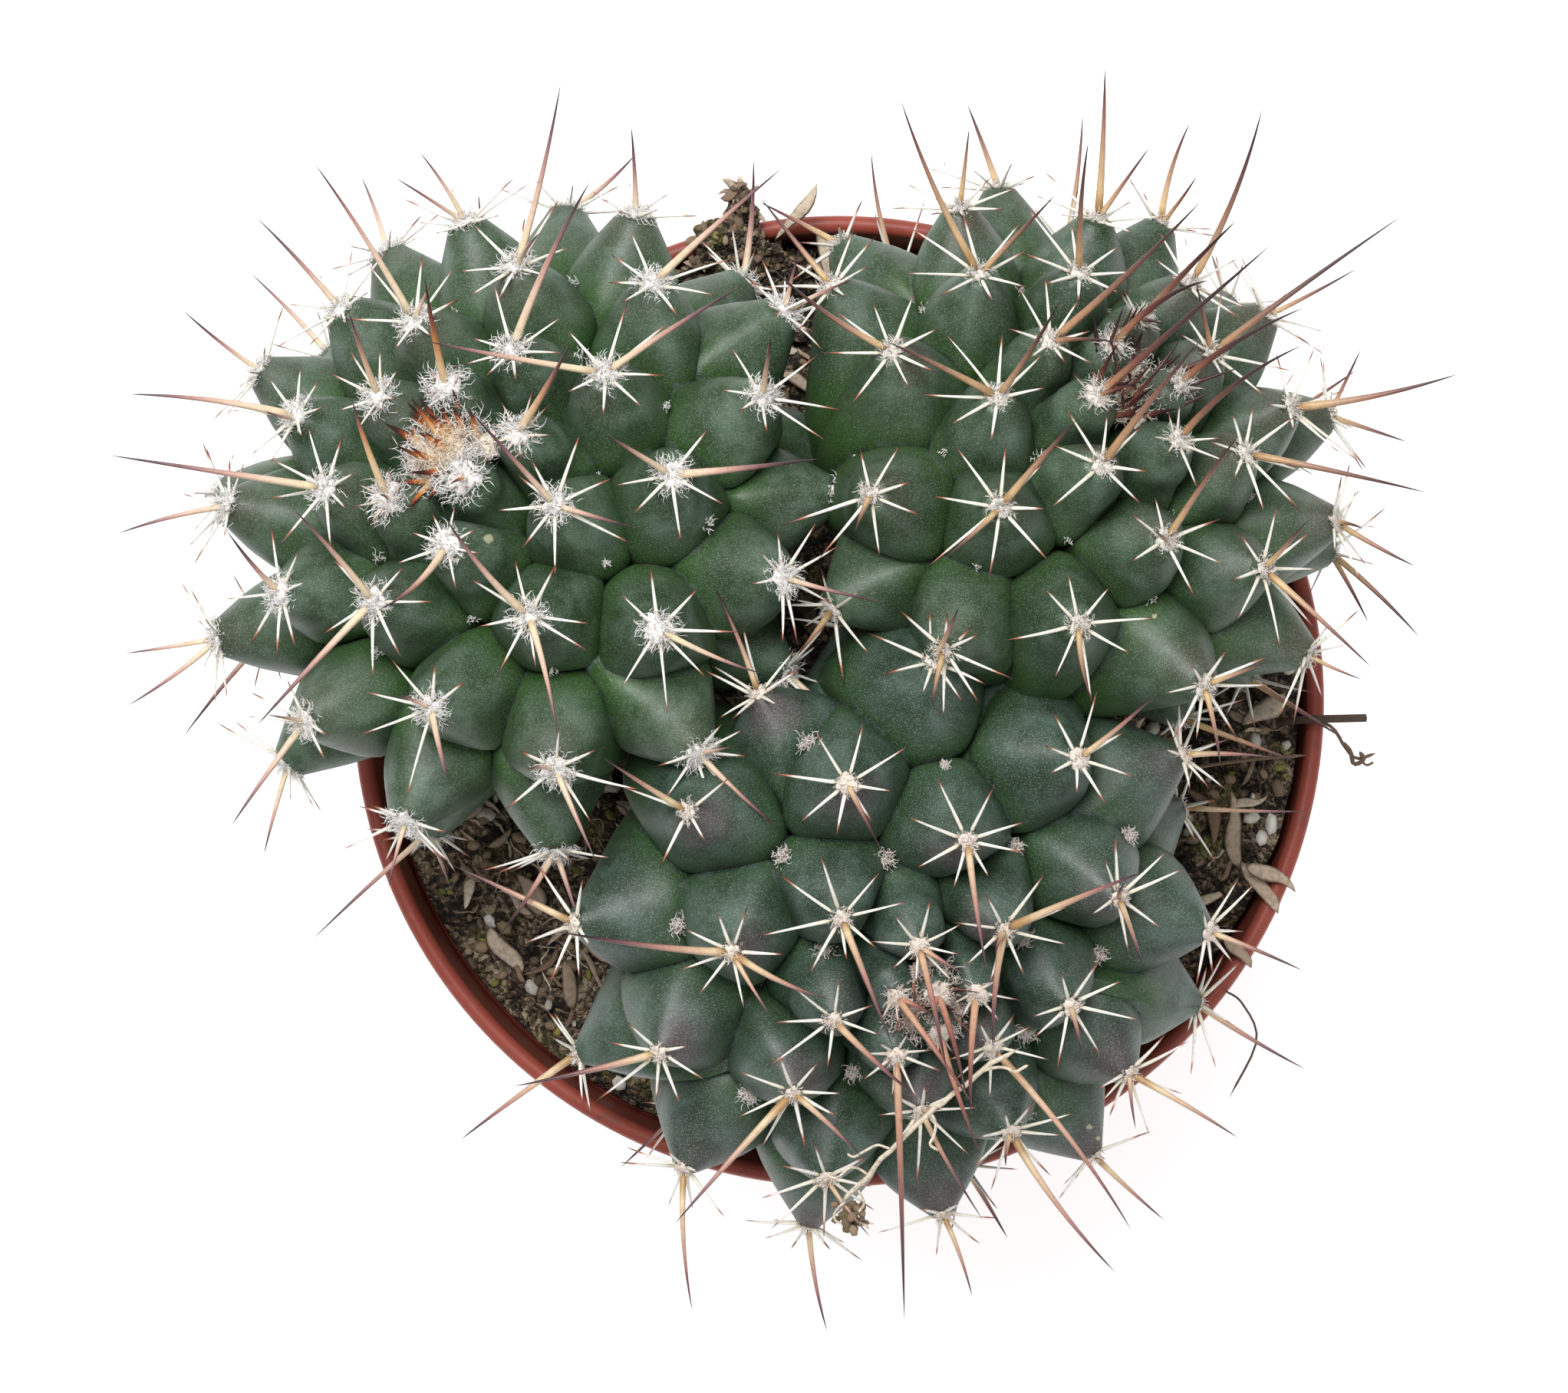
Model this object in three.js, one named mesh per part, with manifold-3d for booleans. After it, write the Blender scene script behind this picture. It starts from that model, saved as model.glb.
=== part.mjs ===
// Three young cactus plants of the kind Mammillaria mystax, growing together in one round nursery pot.
// Lengths are in millimetres, +Z points up, and the origin is the middle of the pot's foot.

import * as THREE from 'three';
import { mergeVertices } from 'three/addons/utils/BufferGeometryUtils.js';
import Module from 'manifold-3d';

const wasm = await Module();
wasm.setup();

// Pot: an injection-moulded 10.5 cm nursery pot with a plain collar under its rim.
const POT_HEIGHT = 85;
const RIM_RADIUS = 52.5;
const RIM_WIDTH = 1.9;
const WALL = 1.2;
const COLLAR_HEIGHT = 13;
const COLLAR_STEP = 1.9;
const COLLAR_FLARE = 1.0;
const FOOT_RADIUS = 37;
const FOOT_RING_WIDTH = 5;
const FLOOR_TOP = 3.4;
const FOOT_RECESS = 2;
const PAD_RADIUS = 13;
const DRAIN_COUNT = 8;
const DRAIN_RADIUS = 3.4;
const DRAIN_SIDES = 8;
const DRAIN_CIRCLE = 22.5;
const ROUND_SEGMENTS = 40;

// Soil: fills the pot to a finger's width below the rim.
const CLEARANCE = 0.3;
const SOIL_TOP = 75;
const SOIL_MOUND = 2;
const SOIL_ROUGHNESS = 0.7;
const SOIL_RINGS = [0.9, 0.76, 0.6, 0.36, 0];
const SOIL_WAVES = [
  { height: 1.0, alongX: 0.31, alongY: 0.27 },
  { height: 0.7, alongX: -0.38, alongY: 0.53 },
  { height: 0.4, alongX: 0.83, alongY: 0.71 },
];
const CHIP_COUNT = 7;
const CHIP_SIDES = 5;
const CHIP_LENGTH = 6.5;
const CHIP_WIDTH_SHARE = 0.45;
const CHIP_THICKNESS = 1.4;
const CHIP_RING_INNER = 30;
const CHIP_RING_WIDTH = 13;
const CHIP_LIFT = 0.25;
const CHIP_TILT = 0.35;

// Plants: each one is a leaning globe on a short neck.
// Its tubercles follow one growth spiral, so the angle from the growing tip to tubercle n is
// growthStep * (n + growthStart) ^ growthPower, and each sits one turn further round than the last.
const PLANTS = [
  {
    name: 'plant_left',
    colour: 0x4c6b4a,
    centre: [-32.6, 18.5, 110],
    leanDeg: 29.3,
    leanTowardsDeg: 137.2,
    reach: 34.6,
    flatness: 0.6,
    firstTurnDeg: 173.1,
    turnDeg: 137.61,
    growthStepDeg: 1.077,
    growthPower: 1.194,
    growthStart: 5.58,
    tubercles: 46,
    neckFoot: [-20, 8],
    roomDeg: [90, 225],
    seed: 1,
    centralLength: 17,
    centralTiltDeg: 42,
  },
  {
    name: 'plant_right',
    colour: 0x4b6c4c,
    centre: [21.3, 22.9, 108],
    leanDeg: 35.1,
    leanTowardsDeg: 51.4,
    reach: 32.4,
    flatness: 0.666,
    firstTurnDeg: 78.3,
    turnDeg: -137.65,
    growthStepDeg: 1.169,
    growthPower: 1.188,
    growthStart: 4.17,
    tubercles: 45,
    neckFoot: [12, 15],
    roomDeg: [-15, 90],
    seed: 2,
    centralLength: 16,
    centralTiltDeg: 40,
  },
  {
    name: 'plant_front',
    colour: 0x4a6a58,
    centre: [5.3, -23.0, 110],
    leanDeg: 27.3,
    leanTowardsDeg: -66.6,
    reach: 34.8,
    flatness: 0.51,
    firstTurnDeg: 136.7,
    turnDeg: -137.77,
    growthStepDeg: 0.584,
    growthPower: 1.413,
    growthStart: 3.39,
    tubercles: 41,
    neckFoot: [3, -12],
    roomDeg: [225, 345],
    seed: 3,
    centralLength: 16,
    centralTiltDeg: 38,
  },
];

// The plants press against each other along three upright faces that meet over this point.
const MEETING_POINT = [-1, 8];

// Flesh under the tubercles: a globe that is flattened above, on a neck that widens up to a shoulder.
const CORE_SHARE = 0.58;
const CORE_SEGMENTS = 10;
const LOW_SIDE_FLATNESS = 0.85;
const NECK_RADIUS = 7;
const NECK_SHOULDER = 15;
const NECK_PLAIN_SHARE = 0.12;
const NECK_SHOULDER_SHARE = 0.6;
const ROOT_DEPTH = 12;

// Tubercles: short near the growing tip, longer down the sides, with a rounded four-cornered section.
const YOUNG_TUBERCLE = 5;
const TUBERCLE_ROOT = 7;
const TUBERCLE_GROWTH = 11;
const TUBERCLE_TIP_RADIUS = 1.5;
const TUBERCLE_WIDTH_SHARE = 0.62;
const TUBERCLE_LEAST_WIDTH = 2.2;
const TUBERCLE_SWELL = 0.75;
const SECTION_HEIGHT = 0.96;
const SECTION_WIDTH = 1.06;
const SECTION_CORNER = 0.1;
const SHOULDER_SHARE = 0.3;
const SHORTEST_TUBERCLE = 5.5;
const TIP_MARGIN = 0.6;
const LEAST_CLOSING = 0.35;

// Each tubercle ends in a star of slim radial spines round one longer central spine.
const RADIAL_COUNT = 4;
const RADIAL_LENGTH = 7.5;
const RADIAL_TILT_DEG = 70;
const STAR_RADIUS = 1.25;
const STAR_HEIGHT = 0.35;
const CENTRAL_RADIUS = 0.55;
const NEEDLE_SIDES = 3;
const SPINE_ROOT = 1.2;
const MATURE_AT = 9;
const CROWN_SPINES = 4;
const CROWN_RADIUS = 1.4;
const CROWN_LENGTH = 7;

// A spine that would touch something is bent up and inwards in small steps, and then shortened.
const BEND_STEPS = 6;
const BEND_UP = 0.12;
const BEND_INWARDS = 0.18;
const SHORTEN_STEPS = 6;
const SHORTEN_BY = 0.8;
const AIR_OVER_SOIL = 3;
const AIR_AT_RIM = 4;

// Numbers that keep the repeatable draws of different choices apart.
const CHOICE = {
  radialLength: 4,
  chipPlace: 7,
  chipDistance: 8,
  chipLength: 9,
  chipTilt: 10,
  chipTurn: 11,
  centralTilt: 20,
  centralSwing: 30,
  centralLength: 40,
  crownSpread: 50,
  crownLength: 60,
};

const radians = THREE.MathUtils.degToRad;
const UP = new THREE.Vector3(0, 0, 1);
const FULL_TURN = 2 * Math.PI;

// Repeatable draw between 0 and 1 for a numbered choice.
function draw(seed, index) {
  const wave = Math.sin(seed * 12.9898 + index * 78.233) * 43758.5453;
  return wave - Math.floor(wave);
}

// Closed geometry to solid: only positions are kept, and triangles that shrink to a line are dropped.
function toSolid(geometry) {
  const bare = geometry.clone();
  bare.deleteAttribute('normal');
  bare.deleteAttribute('uv');
  const merged = mergeVertices(bare, 1e-4);
  const corners = merged.index.array;
  const kept = [];
  for (let i = 0; i < corners.length; i += 3) {
    const [a, b, c] = [corners[i], corners[i + 1], corners[i + 2]];
    if (a !== b && b !== c && c !== a) {
      kept.push(a, b, c);
    }
  }
  return new wasm.Manifold(new wasm.Mesh({
    numProp: 3,
    vertProperties: new Float32Array(merged.attributes.position.array),
    triVerts: new Uint32Array(kept),
  }));
}

// Triangles of the outer skin alone: a hollow that joining has sealed is filled and a loose scrap is dropped.
function outerSkin(corners, places) {
  const parent = Uint32Array.from({ length: places.length / 3 }, (unused, i) => i);
  const root = (i) => {
    let at = i;
    while (parent[at] !== at) {
      parent[at] = parent[parent[at]];
      at = parent[at];
    }
    return at;
  };
  for (let i = 0; i < corners.length; i += 3) {
    parent[root(corners[i + 1])] = root(corners[i]);
    parent[root(corners[i + 2])] = root(corners[i]);
  }
  const volumes = new Map();
  const corner = (i) => new THREE.Vector3().fromArray(places, 3 * corners[i]);
  for (let i = 0; i < corners.length; i += 3) {
    const shell = root(corners[i]);
    const volume = corner(i).dot(corner(i + 1).cross(corner(i + 2))) / 6;
    volumes.set(shell, (volumes.get(shell) ?? 0) + volume);
  }
  const [largest] = [...volumes].sort((one, other) => other[1] - one[1])[0];
  return corners.filter((unused, i) => root(corners[i - (i % 3)]) === largest);
}

function toMesh(name, solid, material) {
  const result = solid.getMesh();
  const geometry = new THREE.BufferGeometry();
  const skin = outerSkin(result.triVerts, result.vertProperties);
  geometry.setAttribute('position', new THREE.BufferAttribute(new Float32Array(result.vertProperties), 3));
  geometry.setIndex(new THREE.BufferAttribute(new Uint32Array(skin), 1));
  geometry.computeVertexNormals();
  const mesh = new THREE.Mesh(geometry, material);
  mesh.name = name;
  return mesh;
}

// Solid of revolution about +Z from [radius, height] points that start and end on the axis or close.
function turned(points, segments) {
  const profile = points.map(([radius, height]) => new THREE.Vector2(radius, height));
  return new THREE.LatheGeometry(profile, segments).rotateX(Math.PI / 2);
}

// Pot

const COLLAR_BOTTOM = POT_HEIGHT - COLLAR_HEIGHT;
const WALL_TOP_RADIUS = RIM_RADIUS - COLLAR_FLARE - COLLAR_STEP;
const RIM_ROUND = RIM_WIDTH / 2;

// Inside of the pot as [radius, height] points from the floor up to the rim.
const POT_INSIDE = [
  [FOOT_RADIUS - WALL, FLOOR_TOP],
  [WALL_TOP_RADIUS - WALL, COLLAR_BOTTOM - WALL],
  [RIM_RADIUS - COLLAR_FLARE - WALL, COLLAR_BOTTOM + WALL],
  [RIM_RADIUS - RIM_WIDTH, POT_HEIGHT - RIM_ROUND],
];

function makePot() {
  const outline = [
    [0, 0],
    [PAD_RADIUS, 0],
    [PAD_RADIUS + 1, FOOT_RECESS],
    [FOOT_RADIUS - FOOT_RING_WIDTH - 1, FOOT_RECESS],
    [FOOT_RADIUS - FOOT_RING_WIDTH, 0],
    [FOOT_RADIUS, 0],
    [WALL_TOP_RADIUS, COLLAR_BOTTOM],
    [RIM_RADIUS - COLLAR_FLARE, COLLAR_BOTTOM + WALL / 2],
    [RIM_RADIUS, POT_HEIGHT - RIM_ROUND],
    [RIM_RADIUS - 0.6 * RIM_ROUND, POT_HEIGHT],
    [RIM_RADIUS - 1.4 * RIM_ROUND, POT_HEIGHT],
    ...POT_INSIDE.slice().reverse(),
    [0, FLOOR_TOP],
  ];
  let pot = toSolid(turned(outline, ROUND_SEGMENTS));
  for (let i = 0; i < DRAIN_COUNT; i += 1) {
    const angle = (FULL_TURN * (i + 0.5)) / DRAIN_COUNT;
    const drill = new THREE.CylinderGeometry(DRAIN_RADIUS, DRAIN_RADIUS, 2 * FLOOR_TOP, DRAIN_SIDES);
    drill.rotateX(Math.PI / 2);
    drill.translate(DRAIN_CIRCLE * Math.cos(angle), DRAIN_CIRCLE * Math.sin(angle), FLOOR_TOP);
    pot = pot.subtract(toSolid(drill));
  }
  return pot;
}

// Soil

// Uneven surface: a low mound round the plants with a ripple of crossed waves that dies out at the wall.
function soilHeight(x, y) {
  const distance = Math.hypot(x, y) / WALL_TOP_RADIUS;
  let ripple = 0;
  for (const wave of SOIL_WAVES) {
    ripple += wave.height * Math.sin(wave.alongX * x + wave.alongY * y);
  }
  return SOIL_TOP + SOIL_MOUND * (1 - distance ** 2) + SOIL_ROUGHNESS * ripple * (1 - distance ** 8);
}

function makeSoil() {
  const side = [
    [POT_INSIDE[0][0] - CLEARANCE, FLOOR_TOP + CLEARANCE],
    [POT_INSIDE[1][0] - 1.5 * CLEARANCE, POT_INSIDE[1][1]],
    [POT_INSIDE[2][0] - 1.5 * CLEARANCE, POT_INSIDE[2][1]],
    [POT_INSIDE[2][0] - 1.5 * CLEARANCE, SOIL_TOP - SOIL_ROUGHNESS],
  ];
  const top = SOIL_RINGS.map((share) => [share * POT_INSIDE[2][0], SOIL_TOP]);
  const geometry = turned([[0, FLOOR_TOP + CLEARANCE], ...side, ...top], ROUND_SEGMENTS);
  const position = geometry.attributes.position;
  for (let i = 0; i < position.count; i += 1) {
    if (position.getZ(i) > SOIL_TOP - CLEARANCE) {
      position.setZ(i, soilHeight(position.getX(i), position.getY(i)));
    }
  }
  let soil = toSolid(geometry);
  for (let i = 0; i < CHIP_COUNT; i += 1) {
    soil = soil.add(makeChip(i));
  }
  for (const plant of PLANTS) {
    soil = soil.subtract(neck(plant, CLEARANCE));
  }
  return soil;
}

// Flake of dry husk or bark, lying half sunk on the open soil near the wall.
function makeChip(index) {
  const angle = FULL_TURN * (index + 0.8 * draw(CHOICE.chipPlace, index)) / CHIP_COUNT;
  const distance = CHIP_RING_INNER + CHIP_RING_WIDTH * draw(CHOICE.chipDistance, index);
  const length = CHIP_LENGTH * (0.6 + 0.6 * draw(CHOICE.chipLength, index));
  const chip = new THREE.CylinderGeometry(0.42, 0.5, 1, CHIP_SIDES).rotateX(Math.PI / 2);
  chip.scale(length, CHIP_WIDTH_SHARE * length, CHIP_THICKNESS);
  chip.rotateY(CHIP_TILT * (draw(CHOICE.chipTilt, index) - 0.5));
  chip.rotateZ(FULL_TURN * draw(CHOICE.chipTurn, index));
  const [x, y] = [distance * Math.cos(angle), distance * Math.sin(angle)];
  chip.translate(x, y, soilHeight(x, y) + CHIP_LIFT);
  return toSolid(chip);
}

// Plants

// Frame of a plant: axis towards the growing tip, downhill across it, and sideways.
function frameOf(plant) {
  const lean = radians(plant.leanDeg);
  const towards = radians(plant.leanTowardsDeg);
  const level = new THREE.Vector3(Math.cos(towards), Math.sin(towards), 0);
  const axis = level.clone().multiplyScalar(Math.sin(lean)).addScaledVector(UP, Math.cos(lean));
  const downhill = level.clone().multiplyScalar(Math.cos(lean)).addScaledVector(UP, -Math.sin(lean));
  return { axis, downhill, sideways: axis.clone().cross(downhill) };
}

// Unit vector across a plant's axis, swung round from its downhill side.
function turnedAside(frame, turn) {
  return frame.downhill.clone().multiplyScalar(Math.cos(turn))
    .addScaledVector(frame.sideways, Math.sin(turn));
}

// The two upright faces that bound a plant's room, as unit vectors pointing into the room.
function wallsOf(plant) {
  const [first, last] = plant.roomDeg.map(radians);
  return [
    new THREE.Vector3(-Math.sin(first), Math.cos(first), 0),
    new THREE.Vector3(Math.sin(last), -Math.cos(last), 0),
  ];
}

function depthInRoom(point, wall) {
  const across = (point.x - MEETING_POINT[0]) * wall.x + (point.y - MEETING_POINT[1]) * wall.y;
  return across - CLEARANCE / 2;
}

// Tip, direction, local spacing and own cross-axes of tubercle n.
function tubercleAt(plant, frame, n) {
  const theta = radians(plant.growthStepDeg) * (n + plant.growthStart) ** plant.growthPower;
  const turn = radians(plant.firstTurnDeg + n * plant.turnDeg);
  const out = turnedAside(frame, turn);
  const flatness = theta < Math.PI / 2 ? plant.flatness : LOW_SIDE_FLATNESS;
  const tip = new THREE.Vector3(...plant.centre)
    .addScaledVector(out, plant.reach * Math.sin(theta))
    .addScaledVector(frame.axis, plant.reach * flatness * Math.cos(theta));
  const direction = out.clone().multiplyScalar(Math.sin(theta) * flatness)
    .addScaledVector(frame.axis, Math.cos(theta)).normalize();
  const away = out.clone().addScaledVector(direction, -out.dot(direction)).normalize();
  const stepAngle = radians(plant.growthStepDeg) * plant.growthPower
    * (n + plant.growthStart) ** (plant.growthPower - 1);
  const along = plant.reach * stepAngle * Math.hypot(Math.cos(theta), flatness * Math.sin(theta));
  const spacing = Math.sqrt(FULL_TURN * plant.reach * Math.sin(theta) * along);
  return {
    n, theta, tip, direction, away, sideways: direction.clone().cross(away), spacing,
    length: TUBERCLE_ROOT + TUBERCLE_GROWTH * Math.sin(theta),
    pressed: false,
  };
}

// A tubercle that would press into a neighbour stays shorter, and one with no room at all isn't grown.
function fitted(tubercle, plant) {
  for (const wall of wallsOf(plant)) {
    const missing = TIP_MARGIN - depthInRoom(tubercle.tip, wall);
    const closing = -tubercle.direction.dot(wall);
    if (missing > 0) {
      const pull = missing / Math.max(closing, LEAST_CLOSING);
      tubercle.tip.addScaledVector(tubercle.direction, -pull);
      tubercle.length -= pull;
      tubercle.pressed = true;
    }
  }
  return tubercle.pressed && tubercle.length < TUBERCLE_ROOT + SHORTEST_TUBERCLE ? null : tubercle;
}

// Half-width of a tubercle at a depth below its tip: narrow at the tip, then swelling ever more slowly.
function halfWidth(depth, fullWidth) {
  const swollen = 1 - Math.exp(-depth / (TUBERCLE_SWELL * fullWidth));
  return TUBERCLE_TIP_RADIUS + (fullWidth - TUBERCLE_TIP_RADIUS) * swollen;
}

// Rounded four-cornered section, a little wider across than up and down.
function sectionPoint(tubercle, turn, radius, height) {
  const cornered = radius * (1 - SECTION_CORNER * (1 - Math.cos(4 * turn)));
  return tubercle.tip.clone()
    .addScaledVector(tubercle.away, SECTION_HEIGHT * cornered * Math.cos(turn))
    .addScaledVector(tubercle.sideways, SECTION_WIDTH * cornered * Math.sin(turn))
    .addScaledVector(tubercle.direction, height);
}

// Surface through rings of points, from a point at the root to a point at the tip.
function ringedSolid(rings) {
  const sides = 2 * RADIAL_COUNT;
  const blank = rings.map((ring, row) => [row % (rings.length - 1) ? 1 : 0, row]);
  const geometry = turned(blank, sides);
  const position = geometry.attributes.position;
  for (let i = 0; i < position.count; i += 1) {
    const slot = Math.floor(i / rings.length) % sides;
    const point = rings[i % rings.length](FULL_TURN * slot / sides, slot);
    position.setXYZ(i, point.x, point.y, point.z);
  }
  return toSolid(geometry);
}

// One tubercle with its spines.
// Every other point of the star ring is drawn out to the point of a radial spine.
// A tubercle that is pressed against a neighbour has rubbed its spines off.
function tubercleSolid(tubercle, plant) {
  const fullWidth = Math.max(TUBERCLE_WIDTH_SHARE * tubercle.spacing, TUBERCLE_LEAST_WIDTH);
  const shoulder = SHOULDER_SHARE * tubercle.length;
  const flesh = [
    (turn) => sectionPoint(tubercle, turn, 0, -tubercle.length),
    (turn) => sectionPoint(tubercle, turn, halfWidth(tubercle.length, fullWidth), -tubercle.length),
    (turn) => sectionPoint(tubercle, turn, halfWidth(shoulder, fullWidth), -shoulder),
    (turn) => sectionPoint(tubercle, turn, TUBERCLE_TIP_RADIUS, 0),
  ];
  if (tubercle.pressed) {
    return ringedSolid([...flesh, (turn) => sectionPoint(tubercle, turn, 0, STAR_HEIGHT)]);
  }
  return ringedSolid([
    ...flesh,
    (turn, slot) => (slot % 2
      ? radialTip(tubercle, plant, turn, slot)
      : sectionPoint(tubercle, turn, STAR_RADIUS, STAR_HEIGHT)),
    (turn) => sectionPoint(tubercle, turn, CENTRAL_RADIUS, 2 * STAR_HEIGHT),
    () => centralTip(tubercle, plant),
  ]);
}

// Free air round a plant: inside its own room, above the soil and off the pot's rim.
function isClear(point, plant) {
  const distance = Math.hypot(point.x, point.y);
  const offWalls = wallsOf(plant).every((wall) => depthInRoom(point, wall) > CLEARANCE);
  const offSoil = distance > RIM_RADIUS || point.z > SOIL_TOP + SOIL_MOUND + AIR_OVER_SOIL;
  const offRim = Math.abs(distance - RIM_RADIUS) > AIR_AT_RIM || point.z > POT_HEIGHT + 1;
  return offWalls && offSoil && offRim;
}

function spineIsClear(root, tip, plant) {
  return [0.25, 0.5, 0.75, 1].every((share) => isClear(root.clone().lerp(tip, share), plant));
}

// Tip of a spine, bent up and back towards its own plant, and then shortened, until it is in free air.
function clearTip(root, direction, length, plant) {
  const inwards = new THREE.Vector3();
  for (const wall of wallsOf(plant)) {
    inwards.addScaledVector(wall, depthInRoom(root, wall) < length ? 1 : 0);
  }
  const bent = direction.clone().normalize();
  let reach = length;
  for (let step = 0; step < BEND_STEPS + SHORTEN_STEPS; step += 1) {
    const tip = root.clone().addScaledVector(bent, reach);
    if (spineIsClear(root, tip, plant)) {
      return tip;
    }
    if (step < BEND_STEPS) {
      bent.addScaledVector(UP, BEND_UP).addScaledVector(inwards, BEND_INWARDS).normalize();
    } else {
      reach *= SHORTEN_BY;
    }
  }
  return root.clone().addScaledVector(direction, SPINE_ROOT);
}

// Direction that leaves a tubercle at a tilt from its own axis.
// The swing is counted from the side that faces away from the growing tip.
function spineDirection(tubercle, tilt, swing) {
  return tubercle.direction.clone().multiplyScalar(Math.cos(tilt))
    .addScaledVector(tubercle.away, Math.sin(tilt) * Math.cos(swing))
    .addScaledVector(tubercle.sideways, Math.sin(tilt) * Math.sin(swing));
}

function radialTip(tubercle, plant, turn, slot) {
  const age = Math.min(1, (tubercle.n + 3) / MATURE_AT);
  const chance = draw(plant.seed + CHOICE.radialLength, 16 * tubercle.n + slot);
  const length = age * RADIAL_LENGTH * (0.85 + 0.3 * chance);
  const tilt = radians(RADIAL_TILT_DEG) * (0.5 + 0.5 * age);
  return clearTip(tubercle.tip, spineDirection(tubercle, tilt, turn), length, plant);
}

// Straight three-sided needle from a root to a tip, with its root sunk in.
function needle(root, tip, radius) {
  const direction = tip.clone().sub(root).normalize();
  const start = root.clone().addScaledVector(direction, -SPINE_ROOT);
  const length = start.distanceTo(tip);
  const geometry = new THREE.ConeGeometry(radius, length, NEEDLE_SIDES).translate(0, length / 2, 0);
  const turn = new THREE.Quaternion().setFromUnitVectors(new THREE.Vector3(0, 1, 0), direction);
  return toSolid(geometry.applyQuaternion(turn).translate(start.x, start.y, start.z));
}

function centralTip(tubercle, plant) {
  const age = Math.min(1, (tubercle.n + 6) / MATURE_AT);
  const chance = (choice) => draw(plant.seed + choice, tubercle.n);
  const tilt = radians(plant.centralTiltDeg) * (0.3 + 0.7 * age) * (0.75 + 0.5 * chance(CHOICE.centralTilt));
  const swing = 0.9 * (chance(CHOICE.centralSwing) - 0.5);
  const length = age * plant.centralLength * (0.75 + 0.5 * chance(CHOICE.centralLength));
  return clearTip(tubercle.tip, spineDirection(tubercle, tilt, swing), length, plant);
}

// Tapered neck from the soil up into the globe, and a plain root below the surface.
function neck(plant, margin) {
  const foot = new THREE.Vector3(...plant.neckFoot, SOIL_TOP + SOIL_MOUND);
  const centre = new THREE.Vector3(...plant.centre);
  const direction = centre.clone().sub(foot).normalize();
  const height = foot.distanceTo(centre);
  const radius = NECK_RADIUS + margin;
  const outline = [
    [0, -ROOT_DEPTH - margin],
    [radius, -ROOT_DEPTH - margin],
    [radius, NECK_PLAIN_SHARE * height],
    [NECK_SHOULDER + margin, NECK_SHOULDER_SHARE * height],
    [NECK_SHOULDER + margin, height],
    [0, height],
  ];
  const geometry = turned(outline, CORE_SEGMENTS);
  const turn = new THREE.Quaternion().setFromUnitVectors(UP, direction);
  return toSolid(geometry.applyQuaternion(turn).translate(foot.x, foot.y, foot.z));
}

// Globe under the tubercles: flattened above, rounder below.
function core(plant, frame) {
  const radius = CORE_SHARE * plant.reach;
  const top = plant.reach * plant.flatness - YOUNG_TUBERCLE;
  const bottom = LOW_SIDE_FLATNESS * radius;
  const outline = [[0, -bottom]];
  for (const angleDeg of [-60, -30, 0, 25, 50, 72]) {
    const angle = radians(angleDeg);
    outline.push([radius * Math.cos(angle), (angle < 0 ? bottom : top) * Math.sin(angle)]);
  }
  outline.push([0, top]);
  const geometry = turned(outline, CORE_SEGMENTS);
  const place = new THREE.Matrix4().makeBasis(frame.downhill, frame.sideways, frame.axis);
  place.setPosition(...plant.centre);
  return toSolid(geometry.applyMatrix4(place));
}

// Small upright spines of the youngest growth, in a ring on the growing tip.
function crown(plant, frame) {
  const height = plant.reach * plant.flatness - YOUNG_TUBERCLE;
  const top = new THREE.Vector3(...plant.centre).addScaledVector(frame.axis, height);
  const spines = [];
  for (let i = 0; i < CROWN_SPINES; i += 1) {
    const aside = turnedAside(frame, FULL_TURN * i / CROWN_SPINES);
    const spread = 0.25 + 0.3 * draw(plant.seed + CHOICE.crownSpread, i);
    const length = CROWN_LENGTH * (1 + 0.7 * draw(plant.seed + CHOICE.crownLength, i));
    const root = top.clone().addScaledVector(aside, CROWN_RADIUS);
    const direction = frame.axis.clone().addScaledVector(aside, spread).normalize();
    spines.push(needle(root, root.clone().addScaledVector(direction, length), CENTRAL_RADIUS));
  }
  return spines;
}

// Block that fills the neighbours' side of one wall of a plant's room.
function beyondWall(wall) {
  const size = 4 * RIM_RADIUS;
  const block = new THREE.BoxGeometry(size, size, size);
  block.rotateZ(Math.atan2(wall.y, wall.x));
  const shift = CLEARANCE / 2 - size / 2;
  return toSolid(block.translate(
    MEETING_POINT[0] + shift * wall.x,
    MEETING_POINT[1] + shift * wall.y,
    POT_HEIGHT,
  ));
}

// Ring of air that is kept free round the pot's rim and collar.
function rimAir() {
  const margin = 2 * CLEARANCE;
  const inner = RIM_RADIUS - COLLAR_FLARE - WALL - margin;
  const outer = RIM_RADIUS + margin;
  return toSolid(turned([
    [inner, SOIL_TOP],
    [outer, SOIL_TOP],
    [outer, POT_HEIGHT],
    [outer - margin, POT_HEIGHT + margin],
    [inner + margin, POT_HEIGHT + margin],
    [inner, POT_HEIGHT],
    [inner, SOIL_TOP],
  ], ROUND_SEGMENTS));
}

function makePlant(plant) {
  const frame = frameOf(plant);
  let body = core(plant, frame).add(neck(plant, 0));
  for (let n = 0; n < plant.tubercles; n += 1) {
    const tubercle = fitted(tubercleAt(plant, frame, n), plant);
    if (tubercle) {
      body = body.add(tubercleSolid(tubercle, plant));
    }
  }
  for (const wall of wallsOf(plant)) {
    body = body.subtract(beyondWall(wall));
  }
  body = body.subtract(rimAir());
  for (const spine of crown(plant, frame)) {
    body = body.add(spine);
  }
  return body;
}

const potMaterial = new THREE.MeshStandardMaterial({ color: 0x8e3b2b, roughness: 0.5, metalness: 0 });
const soilMaterial = new THREE.MeshStandardMaterial({ color: 0x3a2c22, roughness: 0.95, metalness: 0 });

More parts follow.
